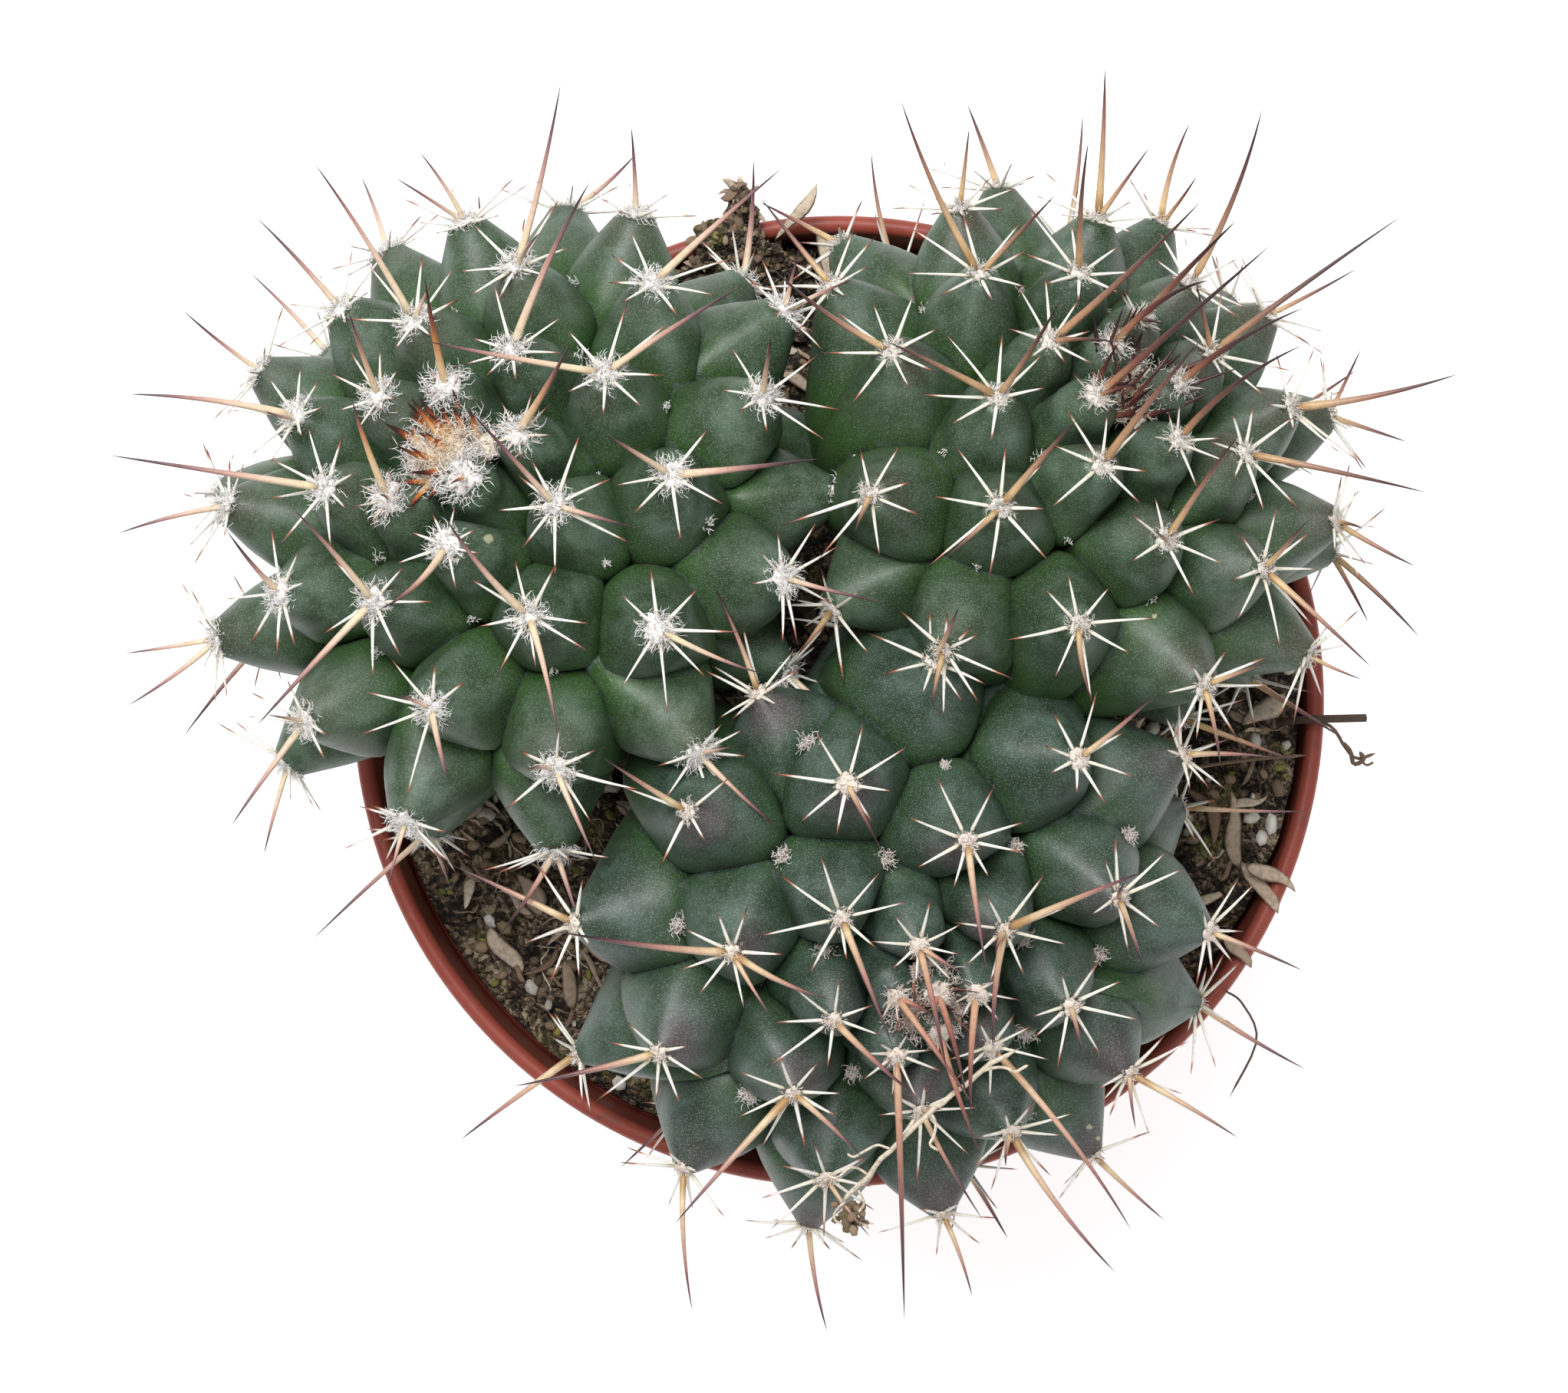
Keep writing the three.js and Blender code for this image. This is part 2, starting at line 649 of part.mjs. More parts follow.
const pottedCactus = new THREE.Group();
pottedCactus.add(toMesh('pot', makePot(), potMaterial));
pottedCactus.add(toMesh('soil', makeSoil(), soilMaterial));
for (const plant of PLANTS) {
  const skin = new THREE.MeshStandardMaterial({ color: plant.colour, roughness: 0.55, metalness: 0 });
  pottedCactus.add(toMesh(plant.name, makePlant(plant), skin));
}

export default pottedCactus;
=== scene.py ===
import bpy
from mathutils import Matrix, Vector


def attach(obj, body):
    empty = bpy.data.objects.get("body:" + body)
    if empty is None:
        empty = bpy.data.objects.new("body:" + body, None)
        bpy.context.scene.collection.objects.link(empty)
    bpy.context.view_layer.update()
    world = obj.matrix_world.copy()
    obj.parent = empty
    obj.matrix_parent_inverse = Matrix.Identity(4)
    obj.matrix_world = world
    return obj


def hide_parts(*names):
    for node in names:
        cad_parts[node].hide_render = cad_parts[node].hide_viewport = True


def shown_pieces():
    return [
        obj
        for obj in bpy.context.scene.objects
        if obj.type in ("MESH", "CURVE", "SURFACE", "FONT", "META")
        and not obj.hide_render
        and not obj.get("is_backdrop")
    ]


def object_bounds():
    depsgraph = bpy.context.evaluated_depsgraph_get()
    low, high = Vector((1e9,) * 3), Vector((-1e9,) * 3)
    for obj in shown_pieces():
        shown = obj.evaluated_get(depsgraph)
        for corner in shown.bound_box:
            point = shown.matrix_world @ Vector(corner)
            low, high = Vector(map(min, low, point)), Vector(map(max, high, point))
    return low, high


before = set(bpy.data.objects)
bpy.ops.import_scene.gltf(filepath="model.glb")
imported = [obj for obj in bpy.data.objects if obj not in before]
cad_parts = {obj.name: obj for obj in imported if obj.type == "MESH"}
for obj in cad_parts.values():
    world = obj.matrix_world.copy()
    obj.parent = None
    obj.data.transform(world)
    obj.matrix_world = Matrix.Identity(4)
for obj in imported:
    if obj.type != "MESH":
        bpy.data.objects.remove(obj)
solids_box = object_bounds()

# %% [markdown]
# # Three young cactus plants in one nursery pot
#
# The object is a terracotta-coloured plastic pot with soil and three leaning globes of Mammillaria mystax.
# The solids in the frame give every piece its place. This lesson makes the surfaces that the eye sees.
# Almost everything on such a plant is a stack of rings between two poles: a pot, a tubercle, a spine,
# a hair of wool, a crumb of grit. So one helper builds them all, and each step only works out its rings.
#
# Lengths are written in millimetres, as a grower would measure them, and become metres in one place.

# %% Libraries and units
from types import SimpleNamespace

import bpy
import numpy as np
from mathutils import Vector
from mathutils.bvhtree import BVHTree

MM = 0.001
FULL_TURN = 2 * np.pi
UP = np.array([0.0, 0.0, 1.0])


def print_box(title, box):
    """Print the two corners of a box in millimetres."""
    print(title, *[[round(x / MM, 1) for x in corner] for corner in box])


print_box("solids from", solids_box)

# %% [markdown]
# ## Camera and light
#
# The picture looks straight down from a little over half a metre with a long lens. One point above the
# pot and a focal length are enough to describe that. The light is a bright, even studio: a white floor,
# a white surround and two large soft panels, so that the shadows stay pale and open.

# %% Camera
CAMERA_PLACE = (-5.9, 0.5, 585.0)
SENSOR_WIDTH = 36.0
PICTURE_WIDTH = 2044
FOCAL_PIXELS = 6040

scene = bpy.context.scene
lens = bpy.data.cameras.new("overhead_camera")
lens.sensor_width = SENSOR_WIDTH
lens.lens = SENSOR_WIDTH * FOCAL_PIXELS / PICTURE_WIDTH
camera = bpy.data.objects.new("overhead_camera", lens)
camera.location = Vector(CAMERA_PLACE) * MM
scene.collection.objects.link(camera)
scene.camera = camera
print("focal length", round(lens.lens, 1), "mm")

# %% Light
PANELS = {
    "overhead_panel": {"place": (-110, 230, 640), "size": 330, "watts": 4.3},
    "front_panel": {"place": (320, -420, 460), "size": 420, "watts": 0.7},
}
PANEL_AIM = Vector((0, 0, 100))
SURROUND_COLOUR = (0.965, 0.985, 1.0, 1.0)
SURROUND_STRENGTH = 0.37


def soft_panel(name, place, size, watts):
    """Square light that faces the plants."""
    light = bpy.data.lights.new(name, "AREA")
    light.shape, light.size, light.energy = "SQUARE", size * MM, watts
    panel = bpy.data.objects.new(name, light)
    panel.location = Vector(place) * MM
    panel.rotation_mode = "QUATERNION"
    panel.rotation_quaternion = (PANEL_AIM * MM - panel.location).to_track_quat("-Z", "Y")
    scene.collection.objects.link(panel)


for panel_name, panel_values in PANELS.items():
    soft_panel(panel_name, **panel_values)
scene.world = bpy.data.worlds.new("white_studio")
scene.world.use_nodes = True
background = scene.world.node_tree.nodes["Background"].inputs
background["Color"].default_value = SURROUND_COLOUR
background["Strength"].default_value = SURROUND_STRENGTH
scene.view_settings.view_transform = "Standard"
print(len(PANELS), "panels in a white surround")

# %% [markdown]
# ## Meshes from whole arrays
#
# A ring is a closed loop of points. A stack of rings between two poles is a closed skin: a fan at each
# end and a band of four-cornered faces between one ring and the next. The same index pattern serves a
# thousand hairs at once, shifted along for each of them, so no shape needs a loop over its points.


# %% Directions and stacks of rings
def unit(vectors):
    """Vectors of length one in the same directions."""
    return vectors / np.maximum(np.linalg.norm(vectors, axis=-1, keepdims=True), 1e-12)


def square_to(axis, vectors):
    """Unit vectors square to axis, as near as can be to the given ones."""
    return unit(vectors - np.sum(vectors * axis, -1, keepdims=True) * axis)


def turns(sides):
    """Angles of the corners of a ring."""
    return FULL_TURN * np.arange(sides) / sides


def around(turn, one, other):
    """cos(turn) * one + sin(turn) * other."""
    return np.cos(turn)[..., None] * one + np.sin(turn)[..., None] * other


def stack_faces(count, rows, sides):
    """Faces of count closed stacks: a pole, then rows rings of so many sides, then the other pole."""
    here = np.arange(sides)
    there = (here + 1) % sides
    base = 1 + sides * np.arange(rows - 1)[:, None]
    bands = [base + here, base + there, base + sides + there, base + sides + here]
    last_ring = 1 + sides * (rows - 1)
    pole = np.zeros(sides, int)
    root_fan = np.stack([pole, 1 + there, 1 + here], -1)
    tip_fan = np.stack([pole + last_ring + sides, last_ring + here, last_ring + there], -1)
    shift = (rows * sides + 2) * np.arange(count)[:, None, None]
    bands, fans = np.stack(bands, -1).reshape(-1, 4), np.concatenate([root_fan, tip_fan])
    return [(bands + shift).reshape(-1, 4), (fans + shift).reshape(-1, 3)]


def stack_points(root, rings, tip):
    """Points in the order of stack_faces, for root (n, 3), rings (n, rows, sides, 3) and tip (n, 3)."""
    count = len(rings)
    return np.concatenate([root[:, None], rings.reshape(count, -1, 3), tip[:, None]], 1).reshape(-1, 3)


# %% Mesh objects
def fill_mesh(name, points, faces, values):
    """Mesh of points in millimetres, with each named list of numbers as an attribute of its points."""
    mesh = bpy.data.meshes.new(name)
    corners = np.concatenate([part.ravel() for part in faces])
    sizes = np.concatenate([np.full(len(part), part.shape[1]) for part in faces])
    mesh.vertices.add(len(points))
    mesh.vertices.foreach_set("co", (points * MM).astype(np.float32).ravel())
    mesh.loops.add(len(corners))
    mesh.loops.foreach_set("vertex_index", corners.astype(np.int32))
    mesh.polygons.add(len(sizes))
    mesh.polygons.foreach_set("loop_start", np.cumsum([0, *sizes[:-1]]).astype(np.int32))
    mesh.update(calc_edges=True)
    for key, numbers in values.items():
        data = mesh.attributes.new(key, "FLOAT", "POINT").data
        data.foreach_set("value", np.asarray(numbers, np.float32))
    mesh.polygons.foreach_set("use_smooth", np.ones(len(sizes), bool))
    return mesh


def place_piece(name, mesh, material):
    """Finished piece that rides on the pot's body, with the given material."""
    piece = bpy.data.objects.new(name, mesh)
    scene.collection.objects.link(piece)
    mesh.materials.clear()
    mesh.materials.append(material)
    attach(piece, "root")
    mesh.calc_loop_triangles()
    print(name, len(mesh.vertices), "points,", len(mesh.loop_triangles), "triangles")
    return piece


def place_stacks(name, points, stacks, values, material):
    """Piece of stacks of one count, rows and sides. Each value has a number a point or a stack."""
    count, rows, sides = stacks
    spread = {
        key: np.repeat(numbers, rows * sides + 2) if len(numbers) == count else numbers
        for key, numbers in values.items()
    }
    return place_piece(name, fill_mesh(name, points, stack_faces(*stacks), spread), material)


def carved(name, meshes, operation, sharp_from):
    """The first closed mesh joined with the others (UNION) or cut by them (DIFFERENCE), as one skin."""
    helpers = [bpy.data.objects.new(mesh.name, mesh) for mesh in meshes]
    basket = bpy.data.collections.new(name + "_parts")
    scene.collection.children.link(basket)
    scene.collection.objects.link(helpers[0])
    for helper in helpers[1:]:
        basket.objects.link(helper)
    carve = helpers[0].modifiers.new("carve", "BOOLEAN")
    carve.operation, carve.solver = operation, "MANIFOLD"
    carve.operand_type, carve.collection = "COLLECTION", basket
    whole = helpers[0].evaluated_get(bpy.context.evaluated_depsgraph_get())
    mesh = bpy.data.meshes.new_from_object(whole)
    for helper in helpers:
        bpy.data.objects.remove(helper)
    bpy.data.collections.remove(basket)
    mesh.name = name
    mesh.polygons.foreach_set("use_smooth", np.ones(len(mesh.polygons), bool))
    mesh.set_sharp_from_angle(angle=np.radians(sharp_from))
    return mesh


# %% Sweeps along paths
def sweep(paths, across, thick, sides, faced):
    """An oval section carried along each path: paths (n, steps, 3), half-widths (n, steps).

    Point = path + across * cos(turn) * side + thick * sin(turn) * other, where side is the part of
    faced that is square to the path, and other is square to both. The path's ends are the poles.
    """
    along = unit(np.gradient(paths, axis=1))
    side = square_to(along, np.broadcast_to(faced[:, None], along.shape))
    other = np.cross(along, side)
    wide, high = across[..., None] * side, thick[..., None] * other
    ovals = around(turns(sides), wide[:, :, None], high[:, :, None])
    return stack_points(paths[:, 0], (paths[:, :, None] + ovals)[:, 1:-1], paths[:, -1])


def place_sweeps(name, paths, across, thick, sides, faced, values, material, slot):
    """Piece made of one sweep a path."""
    count, steps = paths.shape[:2]
    points = sweep(paths, across, thick, sides, faced)
    place_stacks(name, points, (count, steps - 2, sides), values, material)


def share_along(paths, sides):
    """Share of the way from root to tip for all points of the sweeps along paths."""
    count, steps = paths.shape[:2]
    return np.tile([0, *np.repeat(np.linspace(0, 1, steps)[1:-1], sides), 1], count)


# %% Repeatable unevenness
def smooth_step(value, low, high):
    """0 below low, 1 above high, smooth in between."""
    share = np.clip((value - low) / (high - low), 0, 1)
    return share**2 * (3 - 2 * share)


def draw(seed, index):
    """The solids' own repeatable draw between 0 and 1 for a numbered choice."""
    wave = np.sin(seed * 12.9898 + index * 78.233) * 43758.5453
    return wave - np.floor(wave)


def waves(points, length, seed, count=9):
    """Smooth unevenness, about -1 to 1: a sum of sine waves of one length in seeded directions."""
    rng = np.random.default_rng(seed)
    headings = unit(rng.normal(size=(count, 3))) * FULL_TURN / length
    headings = headings * rng.uniform(0.7, 1.4, (count, 1))
    phases = rng.uniform(0, FULL_TURN, count)
    return np.sin(points @ headings.T + phases).sum(-1) / np.sqrt(count)


# %% [markdown]
# ## Node helpers
#
# Each finish is a small network of nodes. A node's output is wrapped so that it adds and multiplies as a
# number does, and each kind of node has a short way to add it. Effects that several finishes share are
# node groups with named inputs and outputs, built once.


# %% Networks of nodes
class Output:
    """A node's output. It adds and multiplies as a number does, and [key] gives the node's others."""

    def __init__(self, net, socket):
        self.net, self.socket = net, socket

    def __getitem__(self, key):
        return Output(self.net, self.socket.node.outputs[key])

    def __add__(self, other):
        return self.net.calculate("ADD", self, other)

    def __sub__(self, other):
        return self.net.calculate("SUBTRACT", self, other)

    def __rsub__(self, other):
        return self.net.calculate("SUBTRACT", other, self)

    def __mul__(self, other):
        return self.net.calculate("MULTIPLY", self, other)


class Network:
    """Nodes of one material or group. Each way to add a node gives that node's output."""

    def __init__(self, tree):
        self.tree = tree

    def fill(self, node, inputs):
        """Link the inputs that are given an output, and set the others."""
        for key, value in inputs.items():
            socket = node.inputs[key]
            if isinstance(value, Output):
                self.tree.links.new(value.socket, socket)
            else:
                socket.default_value = (*value, 1.0) if socket.type == "RGBA" else value

    def add(self, kind, inputs, **settings):
        """First output of a new node."""
        made = self.tree.nodes.new("ShaderNode" + kind)
        for key, value in settings.items():
            setattr(made, key, value)
        self.fill(made, inputs)
        return Output(self, made.outputs[0])

    def calculate(self, how, one, other):
        """Sum on two numbers."""
        return self.add("Math", {0: one, 1: other}, operation=how)

    def ramp(self, value, low, high):
        """0 where value is at low, 1 where it is at high, smooth in between."""
        inputs = {"Value": value, "From Min": low, "From Max": high}
        return self.add("MapRange", inputs, interpolation_type="SMOOTHSTEP")


# %% Shared effects as node groups
def new_group(name, inputs, outputs):
    """Network of a new node group, its given inputs, and the node that takes its results."""
    tree = bpy.data.node_groups.new(name, "ShaderNodeTree")
    for key, kind in inputs.items():
        tree.interface.new_socket(key, in_out="INPUT", socket_type="NodeSocket" + kind)
    for key in outputs:
        tree.interface.new_socket(key, in_out="OUTPUT", socket_type="NodeSocketFloat")
    net = Network(tree)
    given = Output(net, tree.nodes.new("NodeGroupInput").outputs[0])
    return net, given, tree.nodes.new("NodeGroupOutput")


def make_stipple():
    """Round cells: a mask of dots at their centres, a number for each cell and its rounded height."""
    inputs = {"Place": "Vector", "Dots": "Float", "Width": "Float"}
    net, given, result = new_group("stipple", inputs, ("Mask", "Chance", "Height"))
    cells = net.add("TexVoronoi", {"Vector": given["Place"], "Scale": given["Dots"]})
    soft = net.ramp(given["Width"] - cells, 0.0, 0.12)
    chance = net.add("SeparateColor", {0: cells["Color"]})
    mask = soft * (chance * 0.6 + 0.4)
    net.fill(result, {"Mask": mask, "Chance": chance, "Height": net.ramp(cells, 0.7, 0.0)})
    return net.tree


def make_grain():
    """Two sizes of soft noise added up, for the fine relief of moulded plastic, husk and soil."""
    inputs = {"Place": "Vector", "Coarse": "Float", "Fine": "Float"}
    net, given, result = new_group("grain", inputs, ("Height",))
    coarse = net.add("TexNoise", {"Vector": given["Place"], "Scale": given["Coarse"]})
    fine = net.add("TexNoise", {"Vector": given["Place"], "Scale": given["Fine"], "Detail": 3.0})
    net.fill(result, {"Height": (coarse + fine) * 0.5})
    return net.tree


STIPPLE = make_stipple()
GRAIN = make_grain()
WANDER = 0.5


# %% Finishes
class Finish(Network):
    """Nodes of a new material. Sizes are in millimetres, but place, where on the piece, in metres."""

    def __init__(self, name):
        self.material = bpy.data.materials.new(name)
        self.material.use_nodes = True
        super().__init__(self.material.node_tree)
        self.place = self.add("TexCoord", {})["Object"]

    def point(self, name):
        """A number that the mesh carries at each of its points."""
        return self.add("Attribute", {}, attribute_name=name)["Fac"]

    def mix(self, share, one, other, way="MIX"):
        """Colour that goes from one to the other as share goes from 0 to 1."""
        inputs = {0: share, 6: one, 7: other}
        return self.add("Mix", inputs, data_type="RGBA", blend_type=way, clamp_factor=True)[2]

    def between(self, value, low, high):
        """Number from low to high as value goes from 0 to 1."""
        return self.add("MapRange", {"Value": value, "To Min": low, "To Max": high})

    def scale(self, value, stops):
        """Colour read from a list of (place, colour) stops."""
        made = self.add("ValToRGB", {"Fac": value})
        elements = made.socket.node.color_ramp.elements
        while len(elements) < len(stops):
            elements.new(0.5)
        for element, (place, colour) in zip(elements, stops):
            element.position, element.color = place, (*colour, 1.0)
        return made

    def cloud(self, size, detail=2.0, place=None):
        """Soft noise between 0 and 1 whose patches are about size wide."""
        inputs = {"Vector": place or self.place, "Scale": 1 / (size * MM), "Detail": detail}
        return self.add("TexNoise", inputs)

    def move(self, how, one, other):
        """Sum on two places."""
        return self.add("VectorMath", {0: one, 1: other}, operation=how)

    def wander(self):
        """A small side-step that changes from place to place, so that a round mask gets a ragged edge."""
        centred = self.move("SUBTRACT", self.cloud(WANDER)["Color"], (0.5, 0.5, 0.5))
        return self.move("MULTIPLY", centred, (WANDER * MM, WANDER * MM, 0))

    def stipple(self, pitch, width, place=None):
        """Round cells about pitch apart."""
        inputs = {"Place": place or self.place, "Dots": 1 / (pitch * MM), "Width": width}
        return self.add("Group", inputs, node_tree=STIPPLE)

    def bump(self, height, strength, depth):
        """Normal of a relief of that depth."""
        return self.add("Bump", {"Strength": strength, "Distance": depth * MM, "Height": height})

    def grain(self, coarse, fine, strength, depth):
        """Normal with fine relief of two sizes."""
        inputs = {"Place": self.place, "Coarse": 1 / (coarse * MM), "Fine": 1 / (fine * MM)}
        return self.bump(self.add("Group", inputs, node_tree=GRAIN), strength, depth)

    def shade(self, colour, roughness, **others):
        """The material, once its shader is filled."""
        inputs = {"Base Color": colour, "Roughness": roughness, **others}
        self.fill(self.tree.nodes["Principled BSDF"], inputs)
        return self.material


print("node groups", [group.name for group in bpy.data.node_groups])

# %% [markdown]
# ## Floor
#
# A wide white sheet under the pot, lit a little from below as a product table is, so that no shadow
# turns grey. It is only part of the picture, so it is marked as stage.

# %% White floor
FLOOR_REACH = 1500.0
TABLE_GLOW = 0.58


def make_floor():
    """Level square sheet just under the pot's foot, with the faintest unevenness in its white."""
    corners = FLOOR_REACH * np.array([[-1, -1, 0], [1, -1, 0], [1, 1, 0], [-1, 1, 0]])
    floor = bpy.data.objects.new("floor", fill_mesh("floor", corners, [np.array([[0, 1, 2, 3]])], {}))
    scene.collection.objects.link(floor)
    net = Finish("white_floor")
    white = net.mix(net.cloud(90), (0.93, 0.93, 0.93), (0.95, 0.95, 0.95))
    glow = {"Emission Color": (1.0, 1.0, 1.0), "Emission Strength": TABLE_GLOW}
    floor.data.materials.append(net.shade(white, 0.9, **glow))
    floor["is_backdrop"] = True


make_floor()

# %% [markdown]
# ## Pot
#
# The pot is injection-moulded: a tapered wall, a straight collar with a small step under it, a rolled rim,
# and a foot ring. It is round, so one outline turned about the upright axis gives all of it. The drain
# holes under it are drilled afterwards with a Boolean modifier, as a mould's pins would leave them.

# %% Pot outline
POT_HEIGHT = 85.0
RIM_RADIUS = 52.5
RIM_WIDTH = 1.9
POT_WALL = 1.2
COLLAR_BOTTOM = 72.0
COLLAR_FLARE = 1.0
WALL_TOP_RADIUS = 49.6
FOOT_RADIUS = 37.0
FOOT_RING_WIDTH = 5.0
FOOT_RECESS = 2.0
PAD_RADIUS = 13.0
FLOOR_TOP = 3.4
DRAIN_COUNT = 8
DRAIN_RADIUS = 3.4
DRAIN_CIRCLE = 22.5
DRAIN_PIN = (-3.0, 9.0)
DRAIN_SIDES = 32
POT_SIDES = 192
POT_SHARP_FROM = 35


def straight(start, end, steps):
    """Points from start up to, but not at, end."""
    share = np.arange(steps)[:, None] / steps
    return np.array(start) * (1 - share) + np.array(end) * share


def arc(centre, radius, from_deg, to_deg, steps):
    """Points on a circle round centre, from one angle to the other."""
    return centre + radius * around(np.radians(np.linspace(from_deg, to_deg, steps)), [1, 0], [0, 1])


def pot_outline():
    """Radius and height from the middle of the underside, out, up, over the rim, down and in again."""
    collar = RIM_RADIUS - COLLAR_FLARE
    rim_round, edge = RIM_WIDTH / 2, 0.4
    ring_inside = FOOT_RADIUS - FOOT_RING_WIDTH
    collar_inside = (collar - POT_WALL, COLLAR_BOTTOM + POT_WALL)
    wall_inside = (WALL_TOP_RADIUS - POT_WALL, COLLAR_BOTTOM - POT_WALL)
    return np.concatenate([
        [[PAD_RADIUS, 0], [PAD_RADIUS + 0.3, 0.15], [PAD_RADIUS + 1, FOOT_RECESS]],
        straight((PAD_RADIUS + 2, FOOT_RECESS), (ring_inside - 1, FOOT_RECESS), 5),
        [[ring_inside - 0.7, FOOT_RECESS], [ring_inside, edge / 2], [ring_inside + edge, 0]],
        arc((FOOT_RADIUS - edge, edge), edge, -90, 0, 4),
        straight((FOOT_RADIUS + 0.2, 1.2), (WALL_TOP_RADIUS - 0.1, COLLAR_BOTTOM - 0.4), 14),
        [[WALL_TOP_RADIUS, COLLAR_BOTTOM]],
        arc((collar - 0.5, COLLAR_BOTTOM + 0.65), 0.5, -75, 0, 4),
        straight((collar + 0.05, COLLAR_BOTTOM + 1.4), (RIM_RADIUS, POT_HEIGHT - rim_round), 5),
        arc((RIM_RADIUS - rim_round, POT_HEIGHT - rim_round), rim_round, 0, 180, 9),
        straight((RIM_RADIUS - RIM_WIDTH, POT_HEIGHT - 1.3), collar_inside, 5),
        straight(collar_inside, wall_inside, 2),
        straight(wall_inside, (FOOT_RADIUS - POT_WALL, FLOOR_TOP + 0.5), 8),
        [[FOOT_RADIUS - POT_WALL - 0.5, FLOOR_TOP]],
        straight((FOOT_RADIUS - POT_WALL - 2, FLOOR_TOP), (4, FLOOR_TOP), 6),
    ])


def turned_rings(outline, sides):
    """Outline turned about the upright axis: point = (radius cos turn, radius sin turn, height)."""
    turn = turns(sides)
    radius, height = outline[:, :1], outline[:, 1:]
    return np.stack([radius * np.cos(turn), radius * np.sin(turn), height + 0 * turn], -1)


def drill_mesh():
    """The drain holes' pins as closed short cylinders in a circle."""
    middles = DRAIN_CIRCLE * around(turns(DRAIN_COUNT) + np.pi / DRAIN_COUNT, [1, 0, 0], [0, 1, 0])
    pin = turned_rings(np.array([[DRAIN_RADIUS, height] for height in DRAIN_PIN]), DRAIN_SIDES)
    low, high = (middles + height * UP for height in DRAIN_PIN)
    points = stack_points(low, middles[:, None, None] + pin, high)
    return fill_mesh("drain_pins", points, stack_faces(DRAIN_COUNT, 2, DRAIN_SIDES), {})


# %% Pot finish
def make_pot_plastic():
    """Satin terracotta-brown polypropylene: cloudiness, fine moulded grain, scuffs and dried splashes."""
    net = Finish("pot_plastic")
    plastic = net.mix(net.cloud(14, 4), (0.268, 0.054, 0.036), (0.318, 0.068, 0.047))
    stretched = net.add("Mapping", {"Vector": net.place, "Scale": (1.0, 1.0, 0.12)})
    scuffs = net.ramp(net.cloud(1.6, 5, stretched), 0.60, 0.78)
    worn = net.mix(scuffs * 0.35, plastic, (0.41, 0.145, 0.105))
    height = net.add("SeparateXYZ", {0: net.place})["Z"]
    near_rim = net.ramp(height, (POT_HEIGHT - 5) * MM, (POT_HEIGHT + 1) * MM)
    splashes = net.ramp(net.cloud(2.2, 6), 0.58, 0.66)
    soiled = net.mix(splashes * near_rim * 0.45, worn, (0.10, 0.065, 0.045))
    others = {"Normal": net.grain(1.1, 0.25, 0.35, 0.06), "Specular IOR Level": 0.32}
    return net.shade(soiled, net.between(net.cloud(5, 3), 0.34, 0.52), **others)


def make_pot():
    """The turned outline as one closed skin, with the drain holes drilled."""
    rings = turned_rings(pot_outline(), POT_SIDES)
    points = stack_points(np.zeros((1, 3)), rings[None], FLOOR_TOP * UP[None])
    blank = fill_mesh("pot_blank", points, stack_faces(1, len(rings), POT_SIDES), {})
    mesh = carved("pot_shell", [blank, drill_mesh()], "DIFFERENCE", POT_SHARP_FROM)
    piece = place_piece("pot_shell", mesh, make_pot_plastic())
    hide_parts("pot")


make_pot()

# %% [markdown]
# ## Soil
#
# The pot is filled with dark peat and bark. A smooth sheet with a bumpy finish would look like carpet, so
# the crumbs are modelled. The plane is cut into cells with one crumb in each, at a seeded place and size,
# and the surface is the highest crumb over each point. What lies loose on top is made piece by piece:
# a clod of old roots, white perlite, grit, specks of moss, dry husks, rootlets, a dark twig and a thread.

# %% Soil surface
SOIL_TOP = 75.0
SOIL_MOUND = 2.0
SOIL_ROUGHNESS = 0.7
SOIL_RADIUS = 50.1
SOIL_SIDES = 448
SOIL_WAVES = ((1.0, 0.31, 0.27), (0.7, -0.38, 0.53), (0.4, 0.83, 0.71))
# Radii of the first and last ring and their number, in the hidden middle and where the soil is open.
SOIL_RINGS = ((2, 20, 8), (21, SOIL_RADIUS - 0.3, 60))
# The hidden side and underside: radius and height.
SOIL_FLOOR = 3.9
SOIL_SIDE = np.array([[30, SOIL_FLOOR], [35.3, 4.2], [47.9, 70.6], [50.0, 73.5]])
# Loose soil is banked up against the wall at the right. The way to its middle and its half-breadths are in
# degrees, its height and the distances from the pot's axis between which it rises in millimetres.
BANK_TURN = 2.0
BANK_BREADTHS = (15.0, 44.0)
BANK_HEIGHT = 8.2
BANK_DISTANCES = (36.0, 49.5)
# Crumbs, large, small and fine: width of their cells, seed and how much their height counts.
CRUMBS = ((3.4, 11, 0.8), (1.5, 21, 1.15), (0.8, 31, 0.5))
CRUMB_DROP = 1.1


def soil_level(x, y):
    """The solids' surface: a low mound with a ripple of crossed waves that dies out at the wall."""
    distance = np.hypot(x, y) / WALL_TOP_RADIUS
    ripple = sum(height * np.sin(along_x * x + along_y * y) for height, along_x, along_y in SOIL_WAVES)
    return SOIL_TOP + SOIL_MOUND * (1 - distance**2) + SOIL_ROUGHNESS * ripple * (1 - distance**8)


def bank_level(x, y):
    """Height of the bank: rises towards the wall, and fades with the turn away from its middle."""
    off = np.degrees(np.abs(np.angle(np.exp(1j * (np.arctan2(y, x) - np.radians(BANK_TURN))))))
    fade = 1 - smooth_step(off, *BANK_BREADTHS)
    return BANK_HEIGHT * smooth_step(np.hypot(x, y), *BANK_DISTANCES) * fade


